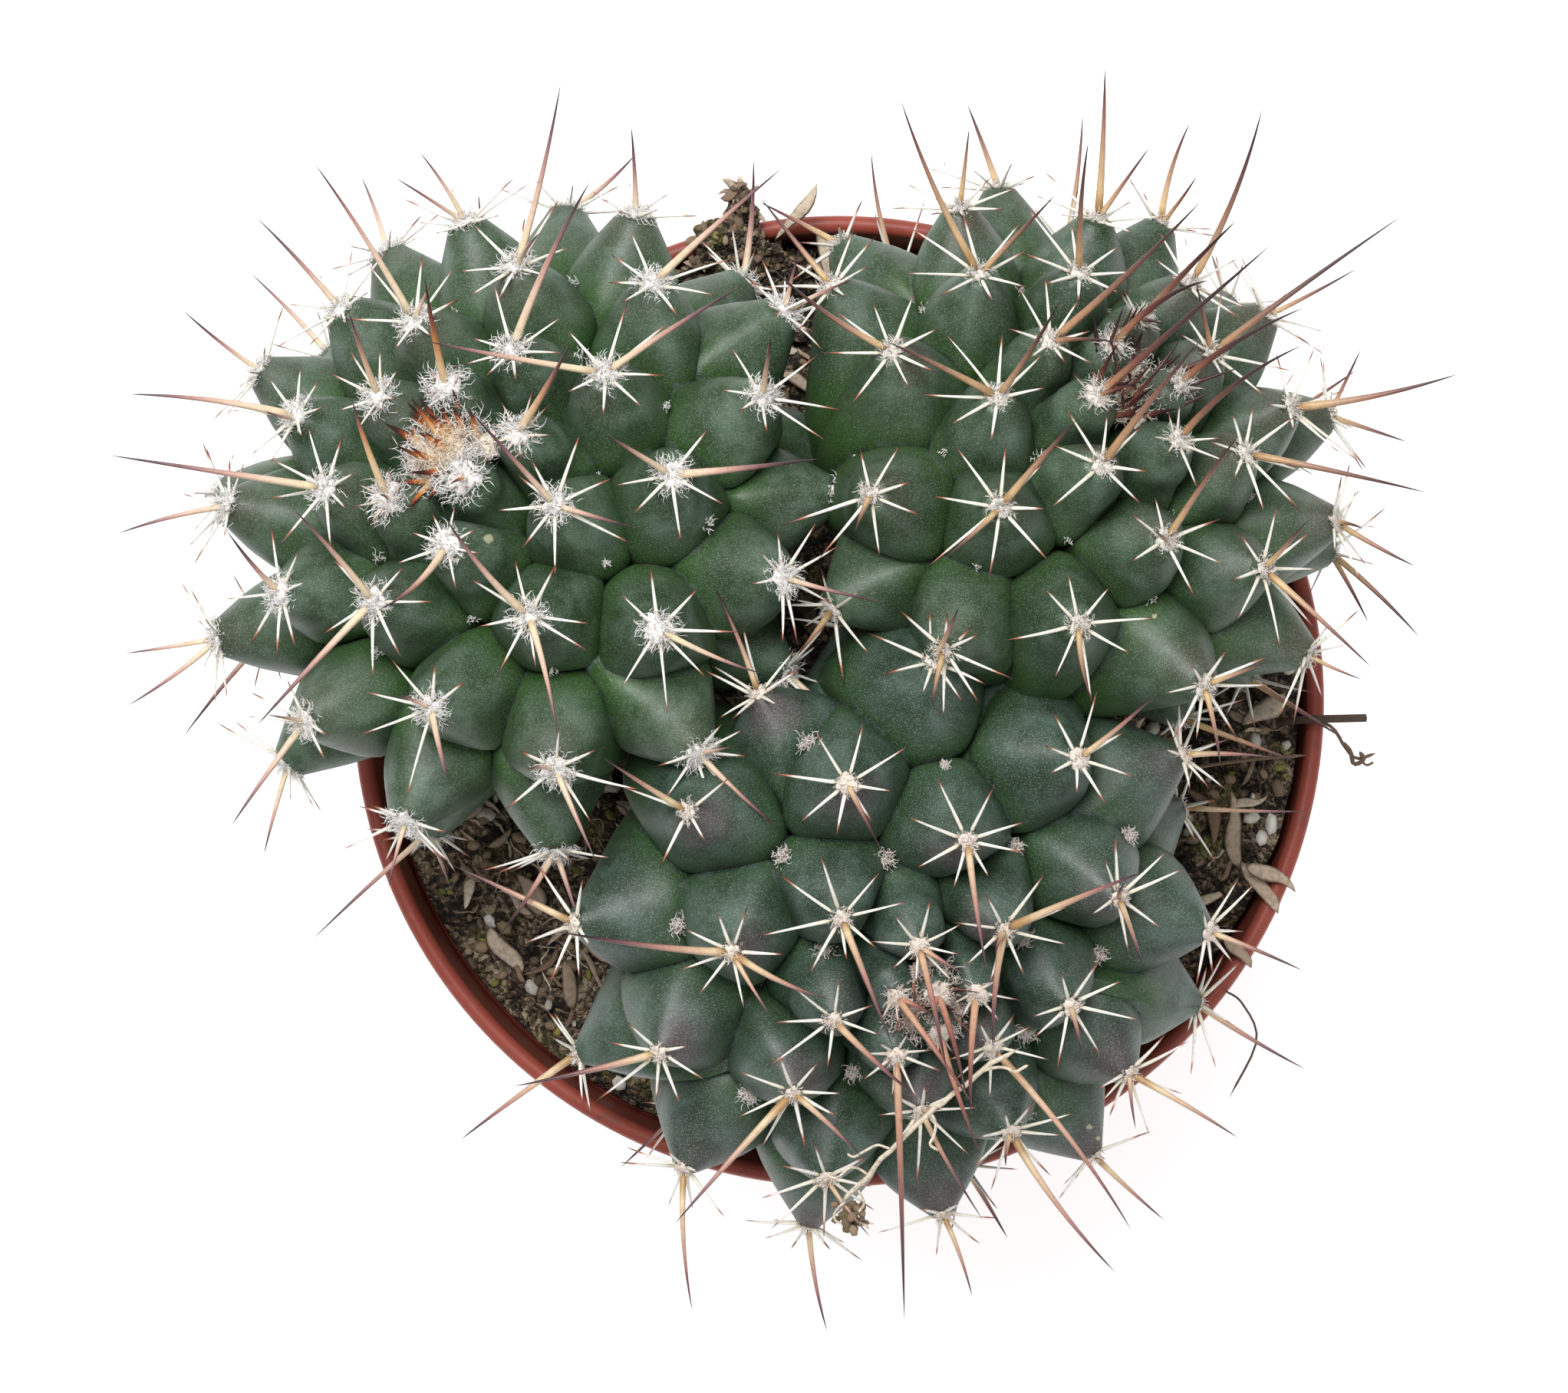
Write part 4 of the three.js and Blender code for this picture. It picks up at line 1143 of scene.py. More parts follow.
def grow(plant):
    """Tip, direction, cross-axes, spacing and length of all tubercles of a plant, as arrays."""
    axis, downhill, sideways = plant_frame(plant)
    n = np.arange(plant.tubercles)[:, None]
    step, power, reach = np.radians(plant.growth_step), plant.growth_power, plant.reach
    theta = step * (n + plant.growth_start) ** power
    out = around(np.radians(plant.first_turn + n[:, 0] * plant.turn), downhill, sideways)
    flatness = np.where(theta < np.pi / 2, plant.flatness, LOW_SIDE_FLATNESS)
    tip = plant.centre + reach * (np.sin(theta) * out + flatness * np.cos(theta) * axis)
    direction = unit(np.sin(theta) * flatness * out + np.cos(theta) * axis)
    slope = step * power * (n + plant.growth_start) ** (power - 1)
    along = reach * slope * np.hypot(np.cos(theta), flatness * np.sin(theta))
    spacing = np.sqrt(FULL_TURN * reach * np.sin(theta) * along)[:, 0]
    length = TUBERCLE_ROOT + TUBERCLE_GROWTH * np.sin(theta)
    away = square_to(direction, out)
    pressed = np.zeros(len(n), bool)
    for wall in room_walls(plant):
        missing = -((tip[:, :2] - MEETING_POINT) @ wall)[:, None]
        pull = np.maximum(missing, 0) / np.maximum(-(direction[:, :2] @ wall)[:, None], LEAST_PULL_SHARE)
        tip = tip - pull * direction
        length = length - pull
        pressed |= pull[:, 0] > 0
    kept = ~pressed | (length[:, 0] > TUBERCLE_ROOT + SHORTEST_TUBERCLE)
    everything = {
        "n": n[:, 0], "tip": tip, "direction": direction, "away": away,
        "sideways": np.cross(direction, away), "spacing": spacing, "length": length[:, 0],
    }
    return SimpleNamespace(**{key: value[kept] for key, value in everything.items()})


for plant in PLANTS:
    plant.growth = grow(plant)
    plant.slot = f"plant_{plant.name}_skin"
    print(plant.name, "has", len(plant.growth.n), "tubercles")

# %% [markdown]
# ## Flesh
#
# A tubercle is a blunt pyramid. It starts round where the spines sit and widens with soft ridges until it
# meets its neighbours, so its foot is a four- to six-sided cell. Neighbours part in narrow creases. One
# Boolean union of all tubercles with the globe and neck under them gives exactly those creases, and each
# point keeps its depth below the tip and how much of a ridge it is on, which the finish reads for colour.

# %% Room for each tubercle
FLESH_SIDES = 44
FREE_REACH = 0.62
FREE_FLARE = 0.45
FLARE_DEPTHS = (5.0, 10.0)
LEAST_REACH = 0.22
CORNER_SHARPNESS = 9.0


def cell_reach(growth, depth, turn):
    """How far each tubercle may spread, at each depth and in each turn, before it meets its neighbours.

    All axes are followed down to the same depth. In direction u the middle plane to a neighbour at v lies
    at |v|^2 / (2 u.v). The nearest one counts: reach = (sum of 1 / distance^q)^(-1/q), which rounds the
    corners a little. Further down the axes may cross, so the sum never shrinks with depth. A free reach,
    which widens at the foot, closes it where no neighbour is near.
    """
    apart = growth.tip[None] - growth.tip[:, None]
    turned = growth.direction[None] - growth.direction[:, None]
    between = apart[:, :, None] - depth[:, None, :, None] * turned[:, :, None]
    squared = np.sum(between**2, -1) + 1e9 * np.eye(len(growth.n))[..., None]
    aside = np.einsum("ijrk,ik->ijr", between, growth.away)
    beside = np.einsum("ijrk,ik->ijr", between, growth.sideways)
    towards = aside[..., None] * np.cos(turn) + beside[..., None] * np.sin(turn)
    nearness = 2 * np.maximum(towards, 0) / squared[..., None]
    spacing = growth.spacing[:, None, None]
    flare = 1 + FREE_FLARE * smooth_step(depth, *FLARE_DEPTHS)[..., None]
    free = (FREE_REACH * spacing * flare) ** -CORNER_SHARPNESS
    crowding = np.maximum.accumulate(np.sum(nearness**CORNER_SHARPNESS, 1), axis=1)
    return np.maximum((crowding + free) ** (-1 / CORNER_SHARPNESS), LEAST_REACH * spacing)


# %% Tubercle surfaces
FLESH_ROWS = 24
CREASE_OPEN = 0.91
CREASE_SHUT = 1.10
CREASE_DEPTHS = (4.5, 8.5)
SHOULDER = 6.0
SUNK_ROOT = 4.0
GROWN_SPACING = 8.0
# The round cap over a tubercle's shoulder: shares of the tip's radius and heights, from the pole outwards.
CAP_SHARES = np.array([0.35, 0.62, 0.84, 0.97])
CAP_HEIGHTS = np.array([0.34, 0.27, 0.16, 0.05])


def tubercle_rings(plant):
    """Surface of all tubercles over depth and turn, and how much of a ridge each point is on.

    The half-width is the smaller, softly, of two: a blunt pyramid with the cell's own corners,
    tip radius + slope * depth * (cell / mean cell), and the walls of the cell at that depth. The walls
    stand a little apart at first and overlap further down, so neighbours part in a narrow crease.
    """
    growth = plant.growth
    rng = np.random.default_rng(100 + plant.seed)
    count, turn = len(growth.n), turns(FLESH_SIDES)
    longest = growth.length[:, None] + SUNK_ROOT
    depth = np.linspace(0, 1, FLESH_ROWS - len(CAP_SHARES)) ** 1.3 * longest
    cell = cell_reach(growth, depth, turn)
    mean = cell.mean(-1, keepdims=True)
    tip_radius = np.minimum(plant.tip_radius, 0.6 * mean[:, :1])
    young = np.clip(growth.spacing / GROWN_SPACING, 0.6, 1)[:, None, None]
    pyramid = tip_radius + plant.slope / young * depth[..., None] * (cell[:, :1] / mean[:, :1]) ** 0.95
    shut = smooth_step(depth / young[..., 0], *CREASE_DEPTHS)[..., None]
    walls = cell * (CREASE_OPEN + (CREASE_SHUT - CREASE_OPEN) * shut)
    side = (pyramid**-SHOULDER + walls**-SHOULDER) ** (-1 / SHOULDER)
    cap = np.broadcast_to(tip_radius * CAP_SHARES[:, None], (count, len(CAP_SHARES), FLESH_SIDES))
    radius = np.concatenate([cap, side], 1)
    radius = radius * (1 + 0.02 * np.sin(turn + rng.uniform(0, FULL_TURN, (count, 1, 1))))
    ridge = np.clip(9 * (cell / mean - 1.02), 0, 1) * smooth_step(depth, 0.6, 2.5)[..., None]
    ridge = np.concatenate([np.zeros(cap.shape), ridge], 1)
    depth = np.concatenate([-CAP_HEIGHTS * tip_radius[:, 0] / plant.tip_radius, depth], 1)
    lift = rng.normal(0, 0.25, (count, 2))
    sunk = np.clip(depth / longest, 0, 1)
    bow = (4 * sunk * (1 - sunk))[..., None]
    across = radius * np.cos(turn) + bow * lift[:, None, :1]
    beside = radius * np.sin(turn) + bow * lift[:, None, 1:]
    tip, direction, away, sideways = (
        part[:, None, None] for part in (growth.tip, growth.direction, growth.away, growth.sideways))
    rings = tip + across[..., None] * away + beside[..., None] * sideways
    return rings - depth[..., None, None] * direction, depth, ridge


def tubercle_parts(plant):
    """Points and attribute values of each tubercle, from its root pole to its tip pole."""
    growth = plant.growth
    rings, depth, ridge = (part[:, ::-1] for part in tubercle_rings(plant))
    root = growth.tip - (growth.length + SUNK_ROOT)[:, None] * growth.direction
    tip = growth.tip + CAP_HEIGHTS[0] * growth.direction
    points = stack_points(root, rings, tip).reshape(len(rings), -1, 3)
    depths = np.repeat(depth, FLESH_SIDES, 1)
    depths = np.column_stack([growth.length, depths, 0 * growth.length])
    ridges = np.pad(ridge.reshape(len(ridge), -1), ((0, 0), (1, 1)))
    facing = np.pad(np.tile(np.cos(turns(FLESH_SIDES)), FLESH_ROWS), 1)
    return points, depths, facing, ridges


# %% Globe and neck under the tubercles
CORE_SHARE = 0.5
YOUNG_TUBERCLE = 5.0
CORE_DROP = 5.0
NECK_RADIUS = 7.0
NECK_SHOULDER = 15.0
NECK_SWELLS = (0.08, 0.63)
ROOT_DEPTH = 12.0
BODY_SIDES = 48
CORE_LATITUDES = np.radians(np.linspace(-84, 84, 22))
NECK_STEPS = 26
# How deep below the tips the skin of the globe and the neck counts, which colours it.
CORE_SKIN_DEPTH = 14.0
NECK_SKIN_DEPTH = 30.0
FLESH_SHARP_FROM = 40


def core_shape(plant):
    """Globe flattened above: half-width radius * cos(angle), height top or low * sin(angle)."""
    axis, downhill, sideways = plant_frame(plant)
    radius = CORE_SHARE * plant.reach
    low, top = LOW_SIDE_FLATNESS * radius, plant.reach * plant.flatness - YOUNG_TUBERCLE - CORE_DROP
    height = np.where(CORE_LATITUDES < 0, low, top) * np.sin(CORE_LATITUDES)
    local = turned_rings(np.stack([radius * np.cos(CORE_LATITUDES), height], -1), BODY_SIDES)
    rings = plant.centre + local @ np.stack([downhill, sideways, axis])
    return rings, plant.centre - low * axis, plant.centre + top * axis


def neck_shape(plant):
    """Corky neck from a root below the soil up into the globe: it swells smoothly to the shoulder."""
    foot = np.array([*plant.neck_foot, SOIL_TOP + SOIL_MOUND])
    height = np.linalg.norm(plant.centre - foot)
    axis = unit(plant.centre - foot)
    side = unit(np.cross(axis, UP))
    along = np.linspace(-ROOT_DEPTH, height, NECK_STEPS)
    radius = NECK_RADIUS + (NECK_SHOULDER - NECK_RADIUS) * smooth_step(along / height, *NECK_SWELLS)
    local = turned_rings(np.stack([radius, along], -1), BODY_SIDES)
    rings = foot + local @ np.stack([np.cross(side, axis), side, axis])
    wrinkle = 1 + 0.05 * waves(rings, 5.0, 7 + plant.seed) + 0.03 * waves(rings, 2.0, 9)
    middle = foot + along[:, None, None] * axis
    return middle + (rings - middle) * wrinkle[..., None], foot - ROOT_DEPTH * axis, plant.centre


def body_mesh(name, shape, depth):
    """Mesh of the globe or the neck, whose skin lies at one depth."""
    rings, root, tip = shape
    points = stack_points(root[None], rings[None], tip[None])
    same = np.ones(len(points))
    values = {"depth": depth * same, "facing": 0 * same, "tone": 0.5 * same, "ridge": 0 * same}
    return fill_mesh(name, points, stack_faces(1, len(rings), BODY_SIDES), values)


def flesh_mesh(name, plant):
    """One skin round the neck, the globe and all tubercles of a plant."""
    points, depths, facing, ridges = tubercle_parts(plant)
    faces = stack_faces(1, FLESH_ROWS, FLESH_SIDES)
    tones = np.random.default_rng(200 + plant.seed).uniform(0, 1, len(points))
    meshes = [
        body_mesh(name + "_neck", neck_shape(plant), NECK_SKIN_DEPTH),
        body_mesh(name + "_core", core_shape(plant), CORE_SKIN_DEPTH),
    ]
    for part, depth, tone, ridge in zip(points, depths, tones, ridges):
        values = {"depth": depth, "facing": facing, "tone": np.full(len(part), tone), "ridge": ridge}
        meshes.append(fill_mesh(name + "_tubercle", part, faces, values))
    return carved(name, meshes, "UNION", FLESH_SHARP_FROM)


# %% [markdown]
# ### Skin
#
# The skin is a dark green to blue-green with a satin gloss. Under a lens it is stippled all over with tiny
# pale dots. It is fresher green down in the creases and flushed purple just under some areoles, on the side
# that faces the growing tip. Near the tips it is greyer and bluer, a little more on the ridges: partly its
# waxy bloom and partly a painted highlight. The neck near the soil is corky brown.

# %% Skin finish
# The bloom colour is pale blue-grey: the skin's waxy bloom and a painted highlight, laid on near the tips
# and a little more on the ridges.
SKINS = {
    "left": {
        "deep": (0.020, 0.043, 0.015), "lit": (0.038, 0.074, 0.030),
        "crease": (0.030, 0.086, 0.012), "bloom": (0.190, 0.275, 0.215),
        "blush": (0.085, 0.058, 0.052), "bloom_share": 0.36, "blush_share": 0.35,
    },
    "right": {
        "deep": (0.019, 0.041, 0.015), "lit": (0.036, 0.069, 0.029),
        "crease": (0.032, 0.084, 0.012), "bloom": (0.176, 0.255, 0.198),
        "blush": (0.085, 0.052, 0.046), "bloom_share": 0.33, "blush_share": 0.5,
    },
    "front": {
        "deep": (0.016, 0.033, 0.018), "lit": (0.029, 0.054, 0.032),
        "crease": (0.024, 0.068, 0.014), "bloom": (0.158, 0.234, 0.200),
        "blush": (0.092, 0.050, 0.064), "bloom_share": 0.36, "blush_share": 0.65,
    },
}

# Small healed scars, seen from above: x, y and radius in millimetres.
SCARS = {
    "left": [(-34.9, 16.0, 0.55)], "right": [(31.0, 8.5, 0.3)],
    "front": [(25.8, -44.3, 0.4), (26.9, -45.6, 0.3)],
}
SCAR_COLOUR = (0.47, 0.46, 0.30)
DOT_COLOUR = (0.36, 0.45, 0.36)


def make_skin(name, deep, lit, crease, bloom, blush, bloom_share, blush_share):
    """Succulent skin from depth, facing, tone and ridge, with stipple, waxy bloom with a painted highlight
    near the tips and on the ridges, and the plant's scars.
    """
    net = Finish("skin_" + name)
    depth, facing, tone, ridge = (net.point(key) for key in ("depth", "facing", "tone", "ridge"))
    patches = net.cloud(6.0, 3) * 0.8 + tone * 0.3
    flesh = net.mix(net.ramp(patches, 0.3, 0.8), deep, lit)
    fresh = net.mix(net.ramp(depth, 3.5, 9.0) * 0.7, flesh, crease)
    # Painted highlight over the skin's waxy bloom: pale blue-grey near the tips, and a little more on the
    # ridges.
    bloom_and_highlight_patches = net.ramp(net.cloud(3.2, 4), 0.35, 0.75) + ridge * 0.06
    with_bloom_and_highlight = net.mix(bloom_and_highlight_patches * (net.ramp(depth, 9.0, 2.0) * bloom_share), fresh, bloom)
    flush = net.ramp(depth, 4.5, 0.3) * net.ramp(facing, 0.5, -0.9)
    flushed = net.mix(flush * (net.ramp(tone, 0.2, 0.7) * blush_share), with_bloom_and_highlight, blush)
    dots = net.stipple(0.19, 0.40) * (net.ramp(depth, 12.0, 3.0) * 0.12 + 0.20)
    skin = net.mix(dots, flushed, DOT_COLOUR)
    flat = net.move("ADD", net.move("MULTIPLY", net.place, (1, 1, 0)), net.wander())
    for scar_x, scar_y, radius in SCARS[name]:
        distance = net.move("DISTANCE", flat, (scar_x * MM, scar_y * MM, 0))["Value"]
        skin = net.mix(net.ramp(distance, radius * MM, 0.55 * radius * MM) * 0.75, skin, SCAR_COLOUR)
    bark = net.mix(net.cloud(2.5, 5), (0.07, 0.045, 0.028), (0.20, 0.15, 0.095))
    skin = net.mix(net.ramp(depth, 22.0, 29.0), skin, bark)
    rough = net.between(net.cloud(1.2, 3), 0.40, 0.58)
    return net.shade(skin, rough, Normal=net.grain(0.9, 0.22, 0.28, 0.07))


FLESH_TREES = {}
for plant in PLANTS:
    mesh = flesh_mesh(plant.name + "_flesh", plant)
    skin = place_piece(mesh.name, mesh, make_skin(plant.name, **SKINS[plant.name]))
    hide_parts("plant_" + plant.name)
    FLESH_TREES[plant.name] = BVHTree.FromPolygons(
        [point.co.copy() for point in mesh.vertices], [tuple(face.vertices) for face in mesh.polygons])

# %% [markdown]
# ## Spines
#
# Each areole carries a star of white radial spines, and one to three longer central spines that go from
# straw through tan and pinkish brown to a nearly black point. A spine is a sweep with six sides whose
# half-width tapers slowly and then quickly. Before it is built, each spine is tried against the flesh of
# all three plants, and one that would run into a tubercle is bent outwards in small steps.

# %% Spines clear of the flesh
SPINE_STEPS = 9
CENTRAL_STEPS = 14
SPINE_SIDES = 6
SPINE_FLATNESS = 0.85
# A spine is broadest square to this nearly upright direction, which no spine follows exactly.
SPINE_FACED = UP + [0.013, 0.021, 0]
BEND_STEPS = 7
BEND = 0.16
# The cushion that a spine stands in: its first stretch may touch the flesh.
IN_CUSHION = 0.9
# Spines grow on until their tubercle has about this number on the growth spiral.
FULL_GROWTH = 9.0


def hits_flesh(root, direction, length):
    """Whether the straight line from a root runs into any plant before its full length."""
    start, ahead = Vector((root + IN_CUSHION * direction) * MM), (length - IN_CUSHION) * MM
    found = (tree.ray_cast(start, Vector(direction), ahead)[0] for tree in FLESH_TREES.values())
    return any(place is not None for place in found)


def bent_clear(roots, directions, lengths, outwards):
    """Directions bent towards outwards, a step at a time, until each spine is in free air."""
    cleared = directions.copy()
    for i, (root, length, out) in enumerate(zip(roots, lengths, outwards)):
        for _ in range(BEND_STEPS):
            if not hits_flesh(root, cleared[i], length):
                break
            cleared[i] = unit(cleared[i] + BEND * out)
    return cleared


def spine_widths(radii, steps, power):
    """Half-width along a spine = root half-width * (1 - share) to a power: the higher, the slimmer."""
    share = np.linspace(0, 1, steps)
    return radii[:, None] * (1 - share) ** power * np.clip(0.72 + share * 6, 0, 1)


# %% Spine finishes
RADIAL_STOPS = [
    (0.0, (0.66, 0.53, 0.32)), (0.12, (0.84, 0.78, 0.64)), (0.5, (0.88, 0.86, 0.80)),
    (0.74, (0.84, 0.76, 0.68)), (0.83, (0.44, 0.150, 0.085)), (0.93, (0.07, 0.020, 0.016)),
]
CENTRAL_STOPS = {
    "left": [
        (0.0, (0.45, 0.30, 0.15)), (0.10, (0.74, 0.61, 0.41)), (0.35, (0.68, 0.48, 0.36)),
        (0.54, (0.47, 0.26, 0.215)), (0.72, (0.20, 0.092, 0.098)), (0.87, (0.045, 0.019, 0.027)),
    ],
    "right": [
        (0.0, (0.36, 0.20, 0.08)), (0.08, (0.40, 0.23, 0.09)), (0.16, (0.64, 0.45, 0.23)),
        (0.33, (0.53, 0.34, 0.20)), (0.54, (0.36, 0.180, 0.120)), (0.74, (0.14, 0.055, 0.048)),
        (0.9, (0.036, 0.014, 0.014)),
    ],
    "front": [
        (0.0, (0.38, 0.22, 0.09)), (0.08, (0.44, 0.26, 0.11)), (0.16, (0.70, 0.53, 0.33)),
        (0.32, (0.58, 0.38, 0.255)), (0.53, (0.40, 0.20, 0.160)), (0.72, (0.165, 0.070, 0.075)),
        (0.87, (0.040, 0.016, 0.021)),
    ],
}
YOUNG_STOPS = {
    "left": [
        (0.0, (0.86, 0.70, 0.48)), (0.25, (0.80, 0.52, 0.25)), (0.46, (0.60, 0.22, 0.055)),
        (0.64, (0.26, 0.052, 0.018)), (0.80, (0.035, 0.010, 0.008)),
    ],
    "right": [
        (0.0, (0.56, 0.40, 0.23)), (0.16, (0.33, 0.150, 0.080)), (0.38, (0.13, 0.036, 0.027)),
        (0.66, (0.038, 0.012, 0.011)), (1.0, (0.012, 0.005, 0.005)),
    ],
    "front": [
        (0.0, (0.60, 0.38, 0.25)), (0.3, (0.48, 0.21, 0.145)), (0.55, (0.24, 0.078, 0.064)),
        (0.8, (0.08, 0.028, 0.028)), (1.0, (0.02, 0.008, 0.009)),
    ],
}


def make_spine_finish(name, stops, young_stops):
    """Hard horny spine: colour by the share along it and by its age, fine streaks and some gloss."""
    net = Finish(name)
    along = net.point("along")
    uneven = (net.point("tone") - 0.45) * 1.1
    shifted = along + along * (1.0 - along) * uneven
    aged = net.mix(net.point("youth"), net.scale(shifted, stops), net.scale(shifted, young_stops))
    streaks = net.ramp(net.cloud(0.45, 3), 0.45, 0.75) * 0.22
    streaked = net.mix(streaks, aged, (0.24, 0.14, 0.10), "MULTIPLY")
    return net.shade(streaked, 0.42, Normal=net.grain(0.5, 0.12, 0.25, 0.05))


# %% Spines as sweeps
def growth_share(numbers, head_start):
    """Share of its full size that a spine has, by its tubercle's number on the growth spiral."""
    return np.minimum(1, (numbers + head_start) / FULL_GROWTH)


def place_spines(plant, kind, roots, directions, lengths, bows, radii, power, tones, youth, stops):
    """Spines along root + share * length * direction + bow * share squared."""
    steps = CENTRAL_STEPS if kind == "central" else SPINE_STEPS
    share = np.linspace(0, 1, steps)[:, None]
    paths = roots[:, None] + share * (lengths[:, None] * directions)[:, None] + share**2 * bows[:, None]
    faced = np.cross(unit(paths[:, -1] - paths[:, 0]), SPINE_FACED)
    widths = spine_widths(radii, steps, power)
    section = (widths, SPINE_FLATNESS * widths, SPINE_SIDES, faced)
    values = {"along": share_along(paths, SPINE_SIDES), "tone": tones, "youth": youth}
    finish = make_spine_finish(f"{plant.name}_{kind}_spine", stops, YOUNG_STOPS[plant.name])
    place_sweeps(f"{plant.name}_{kind}_spines", paths, *section, values, finish, plant.slot)


# %% Radial spines
RADIALS = 8
RADIAL_LENGTH = {"left": 7.4, "right": 7.6, "front": 7.0}
RADIAL_RADIUS = 0.215
RADIAL_TILT = np.radians(72)
RADIAL_RING = 0.62
RADIAL_SLIMNESS = 0.6
RADIAL_HEAD_START = 2
RADIALS_LOST = 0.07


def make_radials(plant):
    """A star of eight slim spines an areole, fewer and shorter near the growing tip."""
    growth = plant.growth
    rng = np.random.default_rng(300 + plant.seed)
    all_of = (len(growth.n), RADIALS)
    age = growth_share(growth.n, RADIAL_HEAD_START)[:, None]
    swing = turns(RADIALS) + np.pi / RADIALS
    swing = swing + rng.normal(0, 0.10, all_of) + rng.normal(0, 0.2, (len(growth.n), 1))
    tilt = RADIAL_TILT * (0.45 + 0.55 * age) + rng.normal(0, 0.09, all_of)
    length = age * RADIAL_LENGTH[plant.name] * (0.86 + 0.16 * np.cos(swing))
    length = length * rng.uniform(0.72, 1.2, all_of)
    kept = rng.uniform(0, 1, all_of) > RADIALS_LOST
    up = growth.direction[:, None]
    across = around(swing, growth.away[:, None], growth.sideways[:, None])
    direction, outwards = around(tilt, up, across)[kept], np.broadcast_to(up, across.shape)[kept]
    roots, length = (growth.tip[:, None] + RADIAL_RING * across + 0.15 * up)[kept], length[kept]
    direction = bent_clear(roots, direction, length, outwards)
    total = len(length)
    bows = -0.05 * length[:, None] * outwards + rng.normal(0, 0.02, (total, 3)) * length[:, None]
    radii = RADIAL_RADIUS * rng.uniform(0.85, 1.12, total) * (0.6 + 0.4 * age + 0 * swing)[kept]
    youth = (0.7 * np.clip(1 - growth.n / 5.0, 0, 1)[:, None] + 0 * swing)[kept]
    tones = rng.uniform(0, 1, total)
    shape = (roots, direction, length, bows, radii, RADIAL_SLIMNESS)
    place_spines(plant, "radial", *shape, tones, youth, RADIAL_STOPS)


# %% Central spines
CENTRAL_LENGTH = {"left": 13.0, "right": 13.0, "front": 12.0}
CENTRAL_RADIUS = 0.385
CENTRAL_REACH = 0.96
CENTRAL_TILT = np.radians(42)
CENTRAL_SLIMNESS = 0.72
CENTRAL_HEAD_START = 5
SECOND_CENTRALS = 0.33
# How far the dimple of the growing tip lies above the feet of the youngest tubercles.
DIMPLE_LIFT = 1.5
# The long centrals that give each plant its look, by tubercle number on the growth spiral. Each is the
# way from the areole to the point in millimetres: to the right, to the back and up.
LONG_CENTRALS = {
    "left": [
        (1, -2, 11, 12), (2, -4, 11, 12), (3, 7, 9, 12), (4, -3, 9, 10), (5, -4, -9, 11), (6, 7, 18, 8),
        (7, -21, 3, 6), (8, 9, -3, 8), (8, -7, 8, 10), (9, -9, 17, 8), (10, -6, 9, 9), (10, -12, -13, 6),
        (11, 14, 9, 8), (11, -18, 2, 9), (12, -16, 4, 5), (13, 4, -10, 8), (13, -9, 8, 10), (14, 6, 17, 6),
        (15, -5, 5, 7), (16, 16, 1, 5), (16, -7, 4, 9), (17, -8, 10, 4), (18, 2, -8, 8), (19, 11, 10, 7),
        (20, -12, -2, 3), (21, 11, -6, 7), (22, -4, 8, 4), (23, -8, -11, 2), (24, 1, 6, 9), (25, -9, 6, 3),
        (26, 4, -9, 5), (27, 0, 9, 5), (28, -10, -2, 2), (28, -8, -8, 2), (29, 9, -3, 6), (31, -2, -7, 3),
        (32, 8, 4, 5),
    ],
    "right": [
        (0, 9, 11, 8), (1, 10, 9, 7), (2, 15, 13, 8), (3, 11, 12, 8), (4, 9, 12, 10), (5, 17, 14, 8),
        (6, 17, 13, 6), (7, 9, 13, 10), (8, -1, 13, 9), (9, 19, -4, 6), (10, -10, 5, 9), (10, 7, 9, 9),
        (11, 10, 17, 6), (12, 7, 12, 9), (13, -10, 15, 7), (13, 8, 8, 7), (14, 17, 1, 5), (15, -6, -6, 8),
        (15, 8, 10, 9), (16, 1, 16, 6), (16, 5, 7, 5), (17, 11, -10, 4), (18, -14, 6, 7), (19, 9, 4, 4),
        (20, -1, -7, 8), (21, 1, 8, 4), (22, 9, -6, 3), (23, -2, -4, 9), (25, 2, -8, 5), (28, -2, -6, 8),
        (30, 5, -3, 3),
    ],
    "front": [
        (0, 4, -11, 9), (1, 3, -12, 8), (2, 7, -9, 9), (3, -2, -12, 9), (4, 1, -27, 2), (5, 3, -12, 9),
        (6, 18, -19, 4), (7, 8, -8, 9), (8, 14, 7, 8), (8, -3, -11, 9), (9, 4, -9, 7), (10, 5, -12, 9),
        (11, 1, -4, 8), (12, -12, -12, 5), (12, 8, -6, 6), (13, 1, -12, 8), (14, 8, -15, 3),
        (15, -16, 1, 8), (15, 9, -6, 9), (16, 2, -6, 8), (17, 4, -6, 4), (18, 3, -6, 9), (19, 13, -7, 3),
        (20, -15, -4, 3), (22, 4, -8, 2), (24, 11, -4, 3), (25, -1, -15, 3), (26, 3, 5, 9), (27, 7, -7, 1),
        (29, 9, 1, 4), (30, 1, -13, 1), (33, -13, -9, 1),
    ],
}
# Young spines on the growing tip: how many, how they lean, their lengths, how far they stand apart and
# splay, their half-width at the root, and what lifts the dimple a little more. Ageing is the number of
# the tubercle by which the young colours have gone.
CROWNS = {
    "left": SimpleNamespace(
        count=30, lean=(-0.12, 0.0, 0.0), length=(2.8, 6.4), spread=3.9, splay=0.24, loose=0.26,
        ageing=5.0, radius=0.47, lift=0.4),
    "right": SimpleNamespace(
        count=34, lean=(0.30, 0.25, 0.0), length=(3.0, 9.5), spread=4.0, splay=0.16, loose=0.46,
        ageing=15.0, radius=0.40, lift=0.7),
    "front": SimpleNamespace(
        count=18, lean=(0.0, -0.1, 0.0), length=(2.0, 6.0), spread=3.2, splay=0.12, loose=0.40,
        ageing=8.0, radius=0.20, lift=1.2),
}


